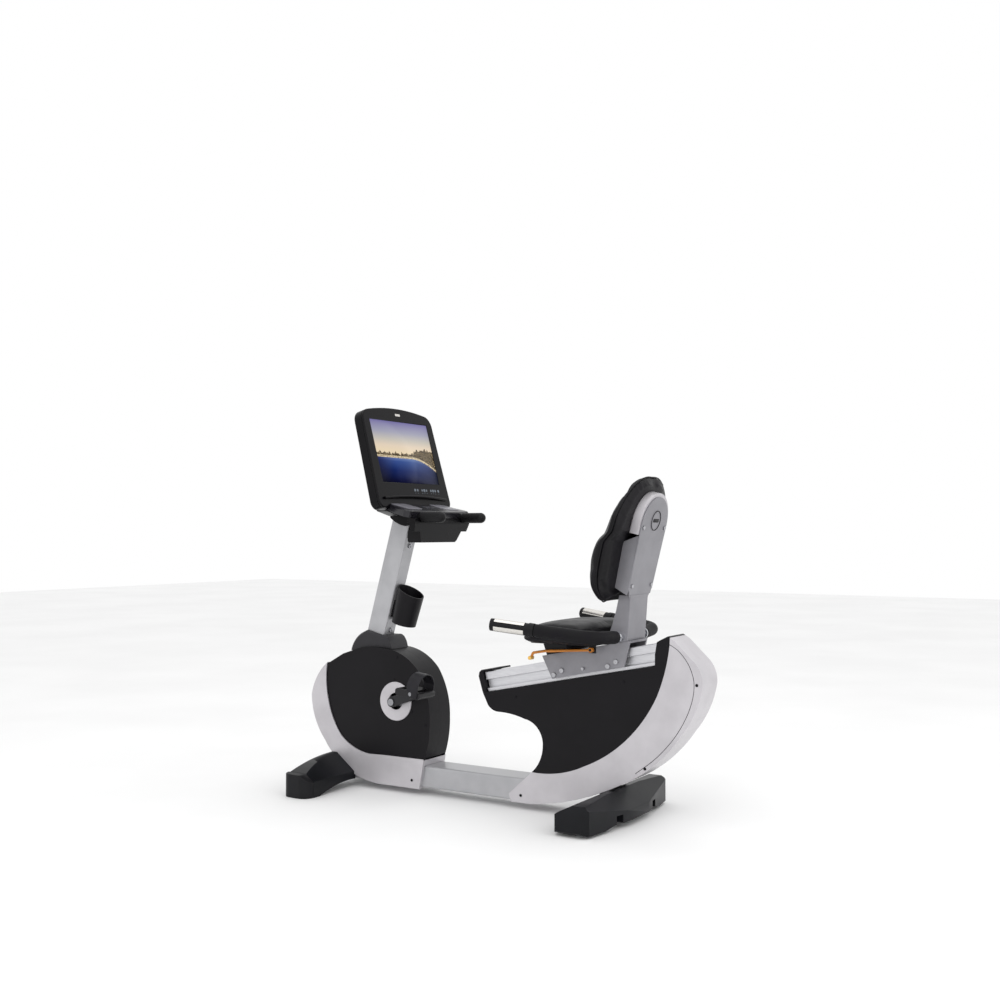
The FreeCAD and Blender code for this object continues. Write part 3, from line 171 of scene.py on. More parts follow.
def relief(material, shader, pattern, size, depth, under=None, stretch=(1, 1, 1), **settings):
    """Raises the surface by depth millimetres with a texture whose cells are about size millimetres,
    on top of an earlier relief if one is given."""
    where = add(material, "TexCoord")
    placed = add(material, "Mapping", {"Scale": stretch}, {"Vector": (where, "Object")})
    heights = add(material, pattern, {"Scale": 1000 / size, **settings}, {"Vector": (placed, "Vector")})
    links = {"Height": (heights, 0)}
    if under:
        links["Normal"] = (under, "Normal")
    bump = add(material, "Bump", {"Distance": depth * MM, "Strength": 1.0}, links)
    link(material, bump, "Normal", shader, "Normal")
    return bump


def satin_lacquer(name, light, dark):
    """Silver lacquer sprayed on moulded covers: small metal flakes under a satin clear coat, with a
    faint orange peel about 3 mm across."""
    coat = {"Metallic": 0.35, "Coat Weight": 0.25, "Coat Roughness": 0.22}
    material, shader = surface(name, light, 0.34, **coat)
    vary(material, shader, light, dark, (0.3, 0.39), 90)
    peel = relief(material, shader, "TexNoise", 3.2, 0.035, Detail=1.0)
    relief(material, shader, "TexNoise", 0.9, 0.012, peel, Detail=0.0)
    return material


def moulded_abs(name, light, dark, rough=0.42, grain=1.6, depth=0.06, shine=0.16):
    """Injection-moulded ABS with a spark-eroded grain, drawn a little coarser than its real 0.5 mm."""
    material, shader = surface(name, light, rough, **{"IOR": 1.53, "Specular IOR Level": shine})
    vary(material, shader, light, dark, (rough - 0.05, rough + 0.06), 120)
    relief(material, shader, "TexNoise", grain, depth, Detail=3.0)
    return material


def powder_coat(name, light, dark, rough=0.38, metallic=0.2, shine=0.4):
    """Baked powder paint on steel: an even satin film with a soft ripple 2 mm across."""
    film = {"Metallic": metallic, "IOR": 1.5, "Specular IOR Level": shine}
    material, shader = surface(name, light, rough, **film)
    vary(material, shader, light, dark, (rough - 0.04, rough + 0.06), 70)
    relief(material, shader, "TexNoise", 2.0, 0.03, Detail=2.0)
    return material


def drawn_metal(name, light, dark, rough, stretch, size=0.8):
    """Bare metal with fine lines along the way it was drawn, brushed or turned."""
    material, shader = surface(name, light, rough, **{"Metallic": 1.0})
    vary(material, shader, light, dark, (rough - 0.05, rough + 0.08), size, stretch)
    relief(material, shader, "TexNoise", size, 0.02, None, stretch, Detail=2.0)
    return material


def bright_chrome(name):
    """Polished chromium plate: a near mirror with faint haze from handling."""
    material, shader = surface(name, "#D6D7DA", 0.08, **{"Metallic": 1.0})
    vary(material, shader, "#DADBDE", "#C6C8CC", (0.05, 0.14), 30)
    return material


def soft_rubber(name, light, dark, rough=0.62, grain=1.2, depth=0.08):
    """Moulded rubber: matt, with a fine tooth that scatters the light."""
    material, shader = surface(name, light, rough, **{"IOR": 1.52, "Specular IOR Level": 0.2})
    vary(material, shader, light, dark, (rough - 0.06, rough + 0.06), 45)
    relief(material, shader, "TexNoise", grain, depth, Detail=4.0)
    return material


def cell_foam(name):
    """Closed-cell nitrile foam sleeve: dull, with pinholes about 1.8 mm apart on its skin and a slow
    swell 12 mm across."""
    skin = {"IOR": 1.5, "Specular IOR Level": 0.2, "Sheen Weight": 0.02, "Sheen Roughness": 0.5}
    material, shader = surface(name, "#0E0C11", 0.7, **skin)
    vary(material, shader, "#100E13", "#09080B", (0.6, 0.78), 35)
    cells = relief(material, shader, "TexVoronoi", 1.8, 0.15)
    relief(material, shader, "TexNoise", 12, 0.3, cells, Detail=2.0)
    return material


def grained_vinyl(name):
    """Embossed upholstery vinyl: pebbles 2.4 mm across with creases between them, satin on the crowns,
    and faint wrinkles 18 mm apart from the stuffing."""
    material, shader = surface(name, "#0C0B0E", 0.44, **{"IOR": 1.5, "Specular IOR Level": 0.2})
    vary(material, shader, "#0F0D12", "#08070A", (0.38, 0.52), 60)
    pebbles = relief(material, shader, "TexVoronoi", 2.4, -0.14, feature="F1")
    creased = relief(material, shader, "TexNoise", 3.8, 0.1, pebbles, Detail=2.0)
    relief(material, shader, "TexNoise", 18, 0.3, creased, Detail=3.0)
    return material


def evening_display():
    """Lit display showing a plain evening lake: a violet to peach sky, a dark far shore with lamps
    and deep blue water, under a clear sheet."""
    sheet = {"Specular IOR Level": 0.15, "Emission Strength": 0.86}
    material, shader = surface("lcd_display_behind_clear_sheet", "#040508", 0.3, **sheet)
    where = add(material, "TexCoord")
    parts = add(material, "SeparateXYZ", {}, {"Vector": (where, "UV")})
    across, up = (parts, "X"), (parts, "Y")

    # the waterline curves down on the right, and rise is the height above it
    past = add(material, "Math", {"operation": "SUBTRACT", 1: 0.58, "use_clamp": True}, {0: across})
    bend = add(material, "Math", {"operation": "MULTIPLY", 1: 1.1}, {0: (past, "Value")})
    curve = add(material, "Math", {"operation": "MULTIPLY"}, {0: (past, "Value"), 1: (bend, "Value")})
    shore = add(material, "Math", {"operation": "SUBTRACT", 0: 0.40}, {1: (curve, "Value")})
    rise = add(material, "Math", {"operation": "SUBTRACT"}, {0: up, 1: (shore, "Value")})

    sky = add(material, "ValToRGB", {}, {"Fac": up})
    paint_ramp(sky, [(0.5, "#F6E2BF"), (0.6, "#EFDCC4"), (0.7, "#CFC9BE"), (0.82, "#A9A9BC"),
                     (1.0, "#7C76AC")])

    # uneven roofs and trees on the shore, with lamps in their lowest part
    line = add(material, "CombineXYZ", {}, {"X": across})
    roofs = add(material, "TexNoise", {"Scale": 26.0, "Detail": 4.0}, {"Vector": (line, "Vector")})
    heights = {"From Min": 0.35, "From Max": 0.7, "To Min": 0.045, "To Max": 0.12}
    tall = add(material, "MapRange", heights, {"Value": (roofs, "Fac")})
    far = add(material, "Math", {"operation": "MULTIPLY_ADD", 1: 0.62},
              {0: (past, "Value"), 2: (tall, "Result")})
    land = add(material, "Math", {"operation": "LESS_THAN"}, {0: (rise, "Value"), 1: (far, "Value")})
    specks = add(material, "TexNoise", {"Scale": 90.0, "Detail": 1.0}, {"Vector": (where, "UV")})
    low = add(material, "Math", {"operation": "LESS_THAN", 1: 0.035}, {0: (rise, "Value")})
    lamps = add(material, "Math", {"operation": "MULTIPLY_ADD", 1: 0.16},
                {0: (low, "Value"), 2: (specks, "Fac")})
    town = add(material, "ValToRGB", {}, {"Fac": (lamps, "Value")})
    paint_ramp(town, [(0.52, "#1B150F"), (0.62, "#B79A68"), (0.72, "#FFF1CF")])

    # water that darkens with its depth in the picture and towards both sides
    depths = {"From Min": 0.0, "From Max": -0.46, "To Min": 0.0, "To Max": 1.0}
    depth = add(material, "MapRange", depths, {"Value": (rise, "Value")})
    water = add(material, "ValToRGB", {}, {"Fac": (depth, "Result")})
    paint_ramp(water, [(0.0, "#6D88BC"), (0.12, "#365698"), (0.45, "#112A68"), (0.8, "#070C38"),
                       (1.0, "#05071E")])
    shade = add(material, "ValToRGB", {}, {"Fac": across})
    paint_ramp(shade, [(0.0, "#5A5A8C"), (0.3, "#E6E6F6"), (0.6, "#FFFFFF"), (0.85, "#9C9CB8"),
                       (1.0, "#40404C")])
    dimmed = add(material, "Mix", {"data_type": "RGBA", "blend_type": "MULTIPLY", 0: 1.0},
                 {6: (water, "Color"), 7: (shade, "Color")})

    above = add(material, "Mix", {"data_type": "RGBA"},
                {0: (land, "Value"), 6: (sky, "Color"), 7: (town, "Color")})
    wet = add(material, "Math", {"operation": "LESS_THAN", 1: 0.0}, {0: (rise, "Value")})
    whole = add(material, "Mix", {"data_type": "RGBA"}, {0: (wet, "Value"), 6: (above, 2), 7: (dimmed, 2)})
    link(material, whole, 2, shader, "Emission Color")
    return material


def paint_ramp(ramp, stops):
    """Sets a colour ramp's stops from (position, hex) pairs."""
    elements = ramp.color_ramp.elements
    while len(elements) < len(stops):
        elements.new(0.5)
    for element, (position, hexa) in zip(elements, stops):
        element.position = position
        element.color = colour(hexa)


def plain_floor():
    """Matt white sweep with a barely visible unevenness."""
    material, shader = surface("matt_white_sweep", "#F4F4F4", 0.9)
    vary(material, shader, "#F6F6F6", "#F2F2F2", (0.85, 0.95), 900)
    return material


FINISH = {
    "frame_silver": powder_coat("silver_powder_coat", "#B1B1B4", "#A8A8AB", 0.34, 0.35),
    "frame_dark": powder_coat("dark_primer", "#3A3A3F", "#313136", 0.5, 0.0),
    "bolt_steel": drawn_metal("zinc_plated_bolts", "#C4C4C8", "#9A9A9E", 0.3, (1, 1, 1), 1.5),
    "silver_cover": satin_lacquer("satin_silver_lacquer", "#C4C1C5", "#BAB7BB"),
    "black_cover": moulded_abs("black_grained_abs", "#100E12", "#0B090D"),
    "cover_screw": drawn_metal("black_oxide_screws", "#2B2A2D", "#1B1A1C", 0.4, (1, 1, 1), 2),
    "foot_plastic": moulded_abs("charcoal_polypropylene", "#15161A", "#101114", 0.36, 2.0, 0.08),
    "foot_rubber": soft_rubber("black_foot_rubber", "#18181B", "#111114", 0.55),
    "leveller_steel": bright_chrome("plated_levelling_feet"),
    "console_plastic": moulded_abs("console_abs", "#09080B", "#060508", 0.32, 1.2, 0.03, 0.13),
    "deck_plastic": moulded_abs("deck_satin_grey_abs", "#1E1D22", "#18171C", 0.26, 1.4, 0.02, 0.4),
    "key_rubber": soft_rubber("key_silicone", "#3A3A40", "#303036", 0.5),
    "screen": evening_display(),
    "bar_steel": powder_coat("black_bar_paint", "#151517", "#101012", 0.4, 0.0, 0.25),
    "grip_rubber": soft_rubber("grip_rubber", "#0F0E11", "#0A0A0C", 0.5, 1.4, 0.1),
    "cup_plastic": moulded_abs("bottle_cup_plastic", "#110F13", "#0C0A0E", 0.4),
    "crank_metal": powder_coat("crank_black_paint", "#1C1C20", "#151518", 0.3, 0.1),
    "spindle_steel": drawn_metal("turned_steel", "#A5A6AA", "#86878B", 0.3, (1, 30, 1), 2),
    "pedal_plastic": moulded_abs("pedal_nylon", "#1A191C", "#131215", 0.42, 1.8, 0.1, 0.3),
    "strap_rubber": soft_rubber("pedal_strap_rubber", "#232227", "#1A191D", 0.42),
    "pulley_plastic": moulded_abs("glass_filled_nylon", "#2B2B2D", "#222224", 0.5),
    "belt_rubber": soft_rubber("ribbed_belt_rubber", "#1A1A1A", "#131313", 0.7),
    "brake_iron": drawn_metal("turned_cast_iron", "#77777A", "#5E5E61", 0.5, (1, 30, 1), 2),
    "rail_aluminium": drawn_metal("clear_anodised_aluminium", "#DCDCDF", "#CDCDD1", 0.45, (0.04, 1, 1),
                                  1.2),
    "seat_metal": powder_coat("grey_powder_coat", "#8D8C91", "#838287", 0.36, 0.3),
    "pan_metal": powder_coat("black_pan_paint", "#161619", "#101013", 0.45, 0.0, 0.25),
    "vinyl": grained_vinyl("grained_black_vinyl"),
    "arm_chrome": bright_chrome("chromed_arm_tube"),
    "foam": cell_foam("black_nitrile_foam"),
    "contact_metal": drawn_metal("polished_contact_plates", "#E4E1DC", "#D2CFC9", 0.2, (0.05, 1, 1), 1.5),
    "lever_paint": powder_coat("orange_lever_paint", "#D08432", "#BE7427", 0.34, 0.0),
    "roller_nylon": moulded_abs("roller_nylon", "#242424", "#1C1C1C", 0.4),
}
PALE_PRINT = powder_coat("pale_key_print", "#6E7680", "#626A74", 0.5, 0.0)
LIGHT_PAD = moulded_abs("pale_grey_hand_rest", "#76757C", "#6A6970", 0.3, 1.4, 0.02, 0.3)
SOFT_BOOT = moulded_abs("soft_mast_boot", "#29282C", "#212024", 0.4, 1.6, 0.05, 0.3)
LEVER_TIP = powder_coat("amber_lever_tip", "#F0C063", "#E4B254", 0.3, 0.0)

# ------------------------------------------------------------------ making pieces


def show(name, work, finish, body, crease=35):
    """Turns a bmesh into a piece that rides on a body."""
    mesh = bpy.data.meshes.new(name)
    work.to_mesh(mesh)
    work.free()
    mesh.materials.append(finish)
    mesh.polygons.foreach_set("use_smooth", [True] * len(mesh.polygons))
    mesh.set_sharp_from_angle(angle=math.radians(crease))
    piece = bpy.data.objects.new(name, mesh)
    bpy.context.scene.collection.objects.link(piece)
    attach(piece, body)
    return piece


def clean_copy(node, flat=1.2):
    """The node's mesh with its facets merged back into whole faces."""
    work = bmesh.new()
    work.from_mesh(NODES[node].data)
    bmesh.ops.remove_doubles(work, verts=work.verts, dist=0.01 * MM)
    bmesh.ops.dissolve_limit(work, angle_limit=math.radians(flat), verts=work.verts, edges=work.edges)
    return work


def room_beside(edge):
    """Smallest reach of the two faces of an edge, square to it."""
    first, second = (v.co for v in edge.verts)
    line = (second - first).normalized()
    middle = (first + second) / 2
    reach = []
    for face in edge.link_faces:
        square = face.normal.cross(line)
        reach.append(max(abs((v.co - middle).dot(square)) for v in face.verts))
    return min(reach)


def round_edges(work, radius, segments):
    """Rounds every sharp outer edge whose faces have room for the radius."""
    shortest, sharpness, room = 0.02 * MM, math.radians(38), 1.6
    work.normal_update()
    chosen = []
    for edge in work.edges:
        if len(edge.link_faces) == 2 and edge.is_convex and edge.calc_length() > shortest:
            if edge.calc_face_angle(0) > sharpness and room_beside(edge) > radius * room:
                chosen.append(edge)
    if chosen:
        bmesh.ops.bevel(work, geom=chosen, offset=radius, offset_type="OFFSET", segments=segments,
                        profile=0.5, affect="EDGES", clamp_overlap=True)


def rounded(node, radii, finish=None):
    """Stands for a CAD node with its outer edges rounded, the widest radius first."""
    work = clean_copy(node)
    for radius in radii:
        round_edges(work, radius * MM, 4 if radius > 3 else 2)
    piece = show(node + "_moulding", work, finish or FINISH[SLOT[node]], BODY[node])
    shading = piece.modifiers.new("even_normals", "WEIGHTED_NORMAL")
    shading.keep_sharp = True
    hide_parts(node)


def slab(name, outline, depth, spot, finish, body, edge=0.0):
    """Plate from an outline of (y, z) in millimetres, standing out along +X of spot by depth."""
    work = bmesh.new()
    base = [work.verts.new((0, y * MM, z * MM)) for y, z in outline]
    face = work.faces.new(base)
    raised = bmesh.ops.extrude_face_region(work, geom=[face])
    top = [v for v in raised["geom"] if isinstance(v, bmesh.types.BMVert)]
    bmesh.ops.translate(work, verts=top, vec=(depth * MM, 0, 0))
    if edge:
        rim = [e for e in work.edges if all(v in set(top) for v in e.verts)]
        bmesh.ops.bevel(work, geom=rim, offset=edge * MM, segments=3, profile=0.5, affect="EDGES",
                        clamp_overlap=True)
    bmesh.ops.recalc_face_normals(work, faces=work.faces)
    bmesh.ops.transform(work, matrix=spot, verts=work.verts)
    return show(name, work, finish, body)


def oblong(half_y, half_z, radius, centre=(0, 0), steps=6):
    """Outline of a rectangle with rounded corners."""
    points = []
    for turn, (sy, sz) in enumerate(((1, 1), (-1, 1), (-1, -1), (1, -1))):
        for i in range(steps + 1):
            a = math.radians(90 * turn + 90 * i / steps)
            points.append((centre[0] + sy * (half_y - radius) + radius * math.cos(a),
                           centre[1] + sz * (half_z - radius) + radius * math.sin(a)))
    return points


def circle_points(radius, centre=(0, 0), steps=48):
    """Outline of a circle."""
    return [(centre[0] + radius * math.cos(2 * math.pi * i / steps),
             centre[1] + radius * math.sin(2 * math.pi * i / steps)) for i in range(steps)]


def rod_along(name, points, radius, finish, body, closed=False):
    """Round cord of a fixed radius through points, as a mesh."""
    curve = bpy.data.curves.new(name, "CURVE")
    curve.dimensions = "3D"
    curve.bevel_depth = radius
    curve.bevel_resolution = 4
    curve.use_fill_caps = not closed
    spline = curve.splines.new("POLY")
    spline.points.add(len(points) - 1)
    for target, point in zip(spline.points, points):
        target.co = (*point, 1)
    spline.use_cyclic_u = closed
    holder = bpy.data.objects.new(name + "_line", curve)
    work = bmesh.new()
    work.from_mesh(holder.to_mesh())
    bpy.data.objects.remove(holder)
    return show(name, work, finish, body)


def smooth_run(points, steps):
    """Curve through the points, with the given number of steps between neighbours."""
    ends = [points[0]] + list(points) + [points[-1]]
    run = []
    for a, b, c, d in zip(ends, ends[1:], ends[2:], ends[3:]):
        for i in range(steps):
            t = i / steps
            run.append(tuple(0.5 * (2 * q + (r - p) * t + (2 * p - 5 * q + 4 * r - s) * t * t
                                    + (3 * q - p - 3 * r + s) * t ** 3) for p, q, r, s in zip(a, b, c, d)))
    return run + [points[-1]]


# where the console's front, the key deck and the seat's rear cover stand and how they lean
CONSOLE = Matrix.Translation((-0.351, 0, 1.055)) @ Matrix.Rotation(math.radians(-15.3), 4, "Y")
DECK = Matrix.Translation((-0.367, 0, 1.046)) @ Matrix.Rotation(math.radians(13), 4, "Y")
BACK = Matrix.Translation((0.544, 0, 0.724)) @ Matrix.Rotation(math.radians(13.6), 4, "Y")


# ------------------------------------------------------------------ covers and frame


# x and z of the joint line along the rear edge of the rear cover, in millimetres
SHELL_SEAM = [(668, 592), (712, 566), (748, 518), (762, 460), (746, 386), (702, 304), (636, 228),
              (560, 168)]


def covers():
    """Mouldings over the drive, the seat's stand and the two feet."""
    for side in ("left", "right"):
        rounded("shroud_" + side, (9, 1.2))
        rounded("skirt_" + side, (9, 1.2))
        rounded("rear_shell_" + side, (9, 1.2))
        rounded("rear_panel_" + side, (6, 1.2))
    rounded("mast_boot", (6, 1.5), SOFT_BOOT)
    rounded("crank_trim_rings", (1.5, 0.6))
    rounded("cover_screws", (0.6,))
    rounded("front_foot_covers", (12, 4, 1.5))
    rounded("rear_foot_cover", (8, 3, 1.2))
    rounded("front_foot_caps", (12, 4, 1.5))
    seam_out, seam_radius = 61.9, 0.9 * MM
    for side, word in ((-1, "left"), (1, "right")):
        path = [Vector((x * MM, side * seam_out * MM, z * MM)) for x, z in smooth_run(SHELL_SEAM, 10)]
        rod_along("rear_shell_seam_" + word, path, seam_radius, FINISH["cover_screw"], "frame")


def console_pieces():
    """Console, key deck and pod, with the mast's neck, the bar's grips and the bottle cup."""
    rounded("console_back_shell", (9, 1.5))
    rounded("console_bezel", (3.5, 1))
    rounded("console_deck", (2,))
    rounded("console_pod", (8, 1.5))
    rounded("console_neck", (8, 2))
    rounded("bottle_holder", (1.2,))
    rounded("front_grips", (1.2,))
    for key in ("key_up", "key_down"):
        rounded(key, (2, 0.8))
    display_picture(174, 69, 305)
    touch_keys()
    slab("console_badge", oblong(15, 4.5, 2.5, (0, 332)), 0.6, CONSOLE, FINISH["contact_metal"], "frame",
         0.3)
    ledge_end, ledge_step = 190, 10
    ledge = []
    for y in range(-ledge_end, ledge_end + 1, ledge_step):
        forward = 2 + 7 * math.cos(y / 210 * math.pi / 2)
        height = 15 - 7 * (y / ledge_end) ** 2
        ledge.append(CONSOLE @ Vector((forward * MM, y * MM, height * MM)))
    rod_along("console_ledge", ledge, 5 * MM, FINISH["console_plastic"], "frame")
    flat = DECK @ Matrix(((0, 0, 1, 0), (0, 1, 0, 0), (1, 0, 0, 0), (0, 0, 0, 1)))
    for side, word in ((-1, "left"), (1, "right")):
        pad = oblong(44, 46, 18, (side * 118, 60))
        slab("hand_rest_" + word, pad, 2.4, flat, LIGHT_PAD, "frame", 1.6)


def display_picture(wide, low, high):
    """Lit sheet behind the clear screen, with its corners' UVs for the picture."""
    work = bmesh.new()
    corners = [(-wide, low), (wide, low), (wide, high), (-wide, high)]
    behind = -1.6
    places = [CONSOLE @ Vector((behind * MM, y * MM, z * MM)) for y, z in corners]
    face = work.faces.new([work.verts.new(place) for place in places])
    layer = work.loops.layers.uv.new("picture")
    for loop, (u, v) in zip(face.loops, ((0, 0), (1, 0), (1, 1), (0, 1))):
        loop[layer].uv = (u, v)
    picture = show("display_picture", work, FINISH["screen"], "frame")
    sheet = picture.modifiers.new("sheet", "SOLIDIFY")
    sheet.thickness, sheet.offset = 0.3 * MM, -1


def touch_keys():
    """Row of printed keys below the picture, each with a dot under it."""
    key_row, dot_row, print_depth = 42, 31, 0.4
    marks = [(8, 5), (24, 5), (52, 4), (66, 6), (80, 4), (108, 5), (122, 5), (136, 5), (156, 5)]
    for i, (y, size) in enumerate(marks):
        outline = circle_points(size, (y, key_row), 24) if i % 2 else oblong(size, size, 1.5, (y, key_row))
        slab(f"touch_key_{i}", outline, print_depth, CONSOLE, PALE_PRINT, "frame", 0.15)
        dot = circle_points(1.6, (y, dot_row), 12)
        slab(f"touch_key_dot_{i}", dot, print_depth, CONSOLE, PALE_PRINT, "frame", 0.1)


def seat_pieces():
    """Metalwork, grips and rear cover of the seat, and its release lever."""
    rounded("seat_carriage", (2, 0.8))
    rounded("seat_back_frame", (2, 0.8))
    rounded("back_cover", (5, 1))
    rounded("seat_pan", (1.5,))
    rounded("side_grips", (2.5, 0.8))
    rounded("arm_foams", (5, 2))
    rounded("seat_fasteners", (1,))
    rounded("seat_rail", (1,))
    rounded("release_lever", (1,))
    badge = BACK @ Matrix.Translation((0, 0, 0.262))
    slab("back_badge", circle_points(35), 1.0, badge, FINISH["seat_metal"], "seat", 0.5)
    ring = [badge @ Vector((1.2 * MM, y * MM, z * MM)) for y, z in circle_points(32)]
    rod_along("back_badge_ring", ring, 1.6 * MM, FINISH["cover_screw"], "seat", True)
    slab("back_badge_bar", oblong(21, 6, 3), 1.8, badge, FINISH["cover_screw"], "seat", 0.4)
    tip_x, tip_z = 207, 524
    tip = [Vector((tip_x * MM, y * MM, tip_z * MM)) for y in (-130, -110)]
    rod_along("lever_tip_sleeve", tip, 6.6 * MM, LEVER_TIP, "lever_body")


def drive_pieces():
    """Cranks, pedals and their straps, with the frame's bolts and the levelling feet."""
    for side in ("left", "right"):
        rounded("crank_arm_" + side, (2.5, 0.8))
        rounded("pedal_" + side, (2, 0.8))
        rounded("pedal_strap_" + side, (1.2,))
    rounded("crank_spindle", (1.5,))
    rounded("frame_bolts", (1,))
    rounded("leveller_left", (2,))
    rounded("leveller_right", (2,))


# ------------------------------------------------------------------ cushions


VOXEL = 6 * MM
COVER_PRESSURE = 4
SWELLING_STEPS = 20
SEAM_DEPTH, SEAM_REACH = 3.2 * MM, 5.5 * MM
PIPING_RADIUS = 2.1 * MM


def evaluated_mesh(obj):
    """A mesh with the object's modifiers applied."""
    graph = bpy.context.evaluated_depsgraph_get()
    return bpy.data.meshes.new_from_object(obj.evaluated_get(graph))


def stuffed(node, edge, shrink, cap, crown):
    """Copy of a cushion's solid, thinner towards its rim, that pressure inside its cover has swelled."""
    low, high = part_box(node)
    centre = (low + high) / 2
    work = clean_copy(node, 3)
    round_edges(work, edge, 5)
    scale = [1 - 2 * shrink / (high[i] - low[i]) for i in range(3)]
    for vert in work.verts:
        for i in range(3):
            vert.co[i] = centre[i] + (vert.co[i] - centre[i]) * scale[i]
    mesh = bpy.data.meshes.new(node + "_form")
    work.to_mesh(mesh)
    work.free()
    form = bpy.data.objects.new(node + "_form", mesh)
    bpy.context.scene.collection.objects.link(form)
    remesh = form.modifiers.new("even_mesh", "REMESH")
    remesh.mode, remesh.voxel_size = "VOXEL", VOXEL
    form.data = evaluated_mesh(form)
    form.modifiers.clear()
    for vert in form.data.vertices:
        vert.co = crown(vert.co)
    relaxed = form.modifiers.new("relax", "SMOOTH")
    relaxed.iterations = 6
    form.data = evaluated_mesh(form)
    form.modifiers.clear()
    rest = [v.co.copy() for v in form.data.vertices]
    cloth = form.modifiers.new("cover_pressure", "CLOTH")
    cloth.settings.use_pressure = True
    cloth.settings.uniform_pressure_force = COVER_PRESSURE
    cloth.settings.effector_weights.gravity = 0
    cloth.settings.quality = 4
    for step in range(1, SWELLING_STEPS + 1):
        bpy.context.scene.frame_set(step)
    swelled = evaluated_mesh(form)
    form.modifiers.clear()
    for vert, start, end in zip(form.data.vertices, rest, swelled.vertices):
        move = end.co - start
        vert.co = start + move * min(1, cap / max(move.length, 1e-9))
    bpy.context.scene.frame_set(1)
    return form


def seam_loop(mesh, axis, shift):
    """The loop where the cover's panels meet: the mesh cut where its place along axis equals shift."""
    work = bmesh.new()
    work.from_mesh(mesh)
    for vert in work.verts:
        vert.co[axis] -= shift(vert.co)
    normal = Vector((0, 0, 0))
    normal[axis] = 1
    everything = work.verts[:] + work.edges[:] + work.faces[:]
    cut = bmesh.ops.bisect_plane(work, geom=everything, plane_co=(0, 0, 0), plane_no=normal, dist=1e-6)
    edges = [e for e in cut["geom_cut"] if isinstance(e, bmesh.types.BMEdge)]
    beside = {}
    for e in edges:
        for a, b in (e.verts, reversed(e.verts)):
            beside.setdefault(a, []).append(b)
    start = edges[0].verts[0]
    loop, last, here = [start], None, start
    while True:
        following = [v for v in beside[here] if v is not last]
        if not following or following[0] is start:
            break
        last, here = here, following[0]
        loop.append(here)
    points = []
    for vert in loop:
        co = vert.co.copy()
        co[axis] += shift(co)
        points.append(co)
    work.free()
    for _ in range(3):
        after = points[1:] + points[:1]
        points = [(points[i - 1] + points[i] * 2 + after[i]) / 4 for i in range(len(points))]
    return points


def cushion(node, name, edge, crown, axis, seam):
    """Stuffed vinyl cushion in place of a CAD solid, drawn in along its seam, with piping in the groove."""
    shrink, cap, fill = 5 * MM, 8 * MM, 0.8
    form = stuffed(node, edge, shrink, cap, crown)
    form.name = name
    points = seam_loop(form.data, axis, seam)
    tree = KDTree(len(points))
    for i, point in enumerate(points):
        tree.insert(point, i)
    tree.balance()
    finer = form.modifiers.new("fine_mesh", "SUBSURF")
    finer.levels = finer.render_levels = 1
    form.data = evaluated_mesh(form)
    form.modifiers.clear()
    normals = [v.normal.copy() for v in form.data.vertices]
    for vert, normal in zip(form.data.vertices, normals):
        distance = tree.find(vert.co)[2]
        vert.co -= normal * SEAM_DEPTH * math.exp(-((distance / SEAM_REACH) ** 2))
    form.data.materials.clear()
    form.data.materials.append(FINISH["vinyl"])
    form.data.polygons.foreach_set("use_smooth", [True] * len(form.data.polygons))
    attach(form, "seat")
    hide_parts(node)
    rod_along(name + "_piping_0", points, PIPING_RADIUS, FINISH["vinyl"], "seat", True)


def along_back(rows, z):
    """Value at a height, read between rows of (height, value)."""
    for (z0, v0), (z1, v1) in zip(rows, rows[1:]):
        if z <= z1:
            return v0 + (v1 - v0) * (z - z0) / (z1 - z0)
    return rows[-1][1]


# rear surface, thickness and half width of the backrest at some heights, in metres
BACK_REAR = [(0.700, 0.488), (0.765, 0.494), (0.912, 0.526), (0.945, 0.555), (1.078, 0.590), (1.136, 0.604)]
BACK_THICK = [(0.700, 0.02), (0.765, 0.055), (0.819, 0.077), (0.932, 0.068), (1.084, 0.034), (1.136, 0.012)]
BACK_WIDE = [(0.700, 0.135), (0.765, 0.180), (0.850, 0.200), (1.136, 0.200)]


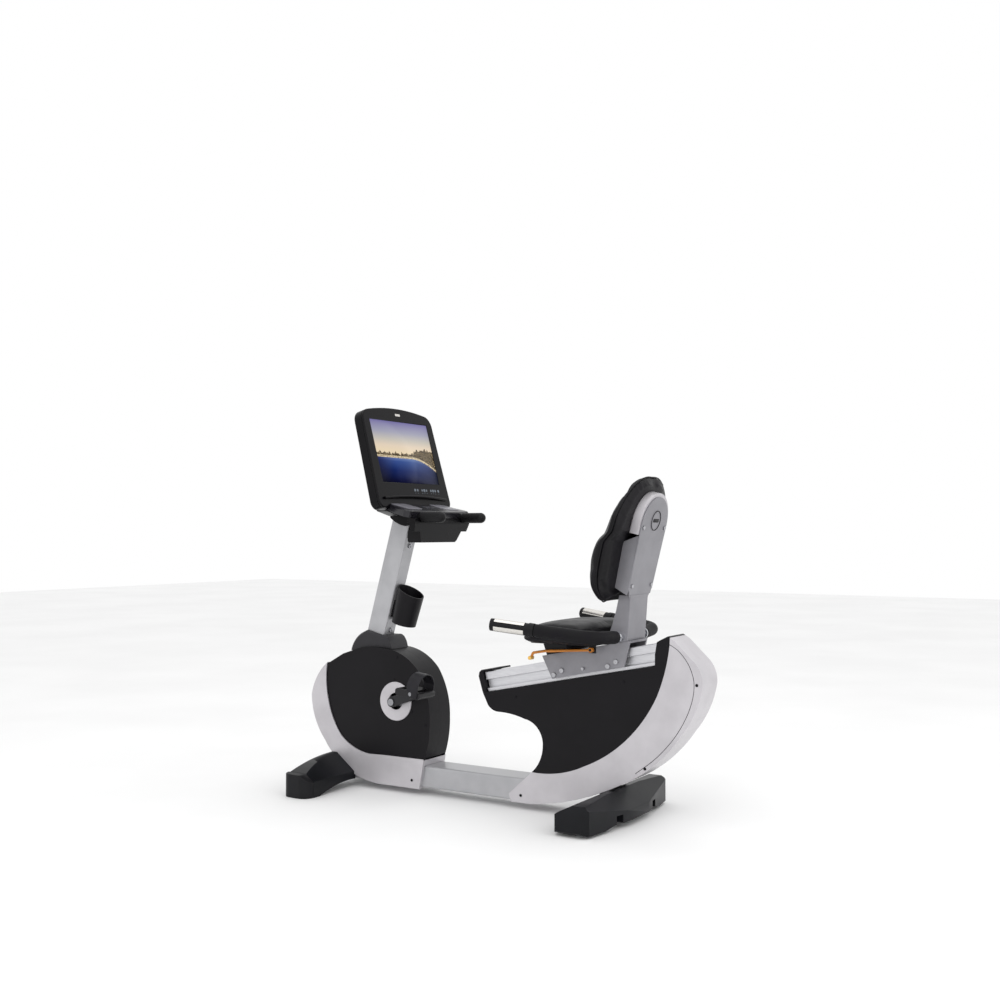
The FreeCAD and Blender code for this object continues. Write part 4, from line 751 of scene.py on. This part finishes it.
def rim_thinning(y, z):
    """Share of the backrest's full thickness that is left at a place, less towards its rim."""
    loss, roundness, widest, climb = 0.55, 2.5, 0.850, 0.340
    across = abs(y) / along_back(BACK_WIDE, z)
    upwards = max(0, (z - widest) / climb)
    return 1 - loss * min(1, across ** roundness + upwards ** roundness)


def crowned_back(co):
    """Place of a backrest point after its front has been drawn in towards the rear surface."""
    rear = along_back(BACK_REAR, co.z)
    ahead, behind = max(0, rear - co.x), max(0, co.x - rear)
    return Vector((rear - ahead * rim_thinning(co.y, co.z) + behind, co.y, co.z))


def back_seam(co):
    """Surface through the middle of the crowned backrest, where its front and rear covers meet."""
    return along_back(BACK_REAR, co.z) - 0.5 * along_back(BACK_THICK, co.z) * rim_thinning(co.y, co.z)


def crowned_pad(co):
    """Seat pad whose upper face falls 14 mm from its middle towards its rim."""
    fall, base, depth = 14 * MM, 0.600, 0.040
    middle, half_length, half_width = 0.330, 0.140, 0.200
    if co.z < base:
        return co
    rim = min(1, (co.y / half_width) ** 4 + ((co.x - middle) / half_length) ** 4)
    return Vector((co.x, co.y, co.z - fall * rim * min(1, (co.z - base) / depth)))


def cushions():
    """Seat pad with a level seam, and backrest with one that follows its curve."""
    cushion("seat_pad", "seat_cushion", 16 * MM, crowned_pad, 2, lambda co: 0.604)
    cushion("backrest_cushion", "back_cushion", 14 * MM, crowned_back, 0, back_seam)


# ------------------------------------------------------------------ scene


def floor():
    """Plain ground under the bike, wide enough to fill the view."""
    reach = 14
    corners = [(-reach, -reach, 0), (reach, -reach, 0), (reach, reach, 0), (-reach, reach, 0)]
    mesh = bpy.data.meshes.new("floor_sweep")
    mesh.from_pydata(corners, [], [(0, 1, 2, 3)])
    mesh.materials.append(plain_floor())
    ground = bpy.data.objects.new("floor_sweep", mesh)
    bpy.context.scene.collection.objects.link(ground)


def finish_nodes():
    """Every CAD node that still shows gets its own finish."""
    for name, node in NODES.items():
        node.data.materials.clear()
        node.data.materials.append(FINISH[SLOT[name]])


place_camera()
light_studio()
floor()
finish_nodes()
covers()
console_pieces()
seat_pieces()
drive_pieces()
cushions()
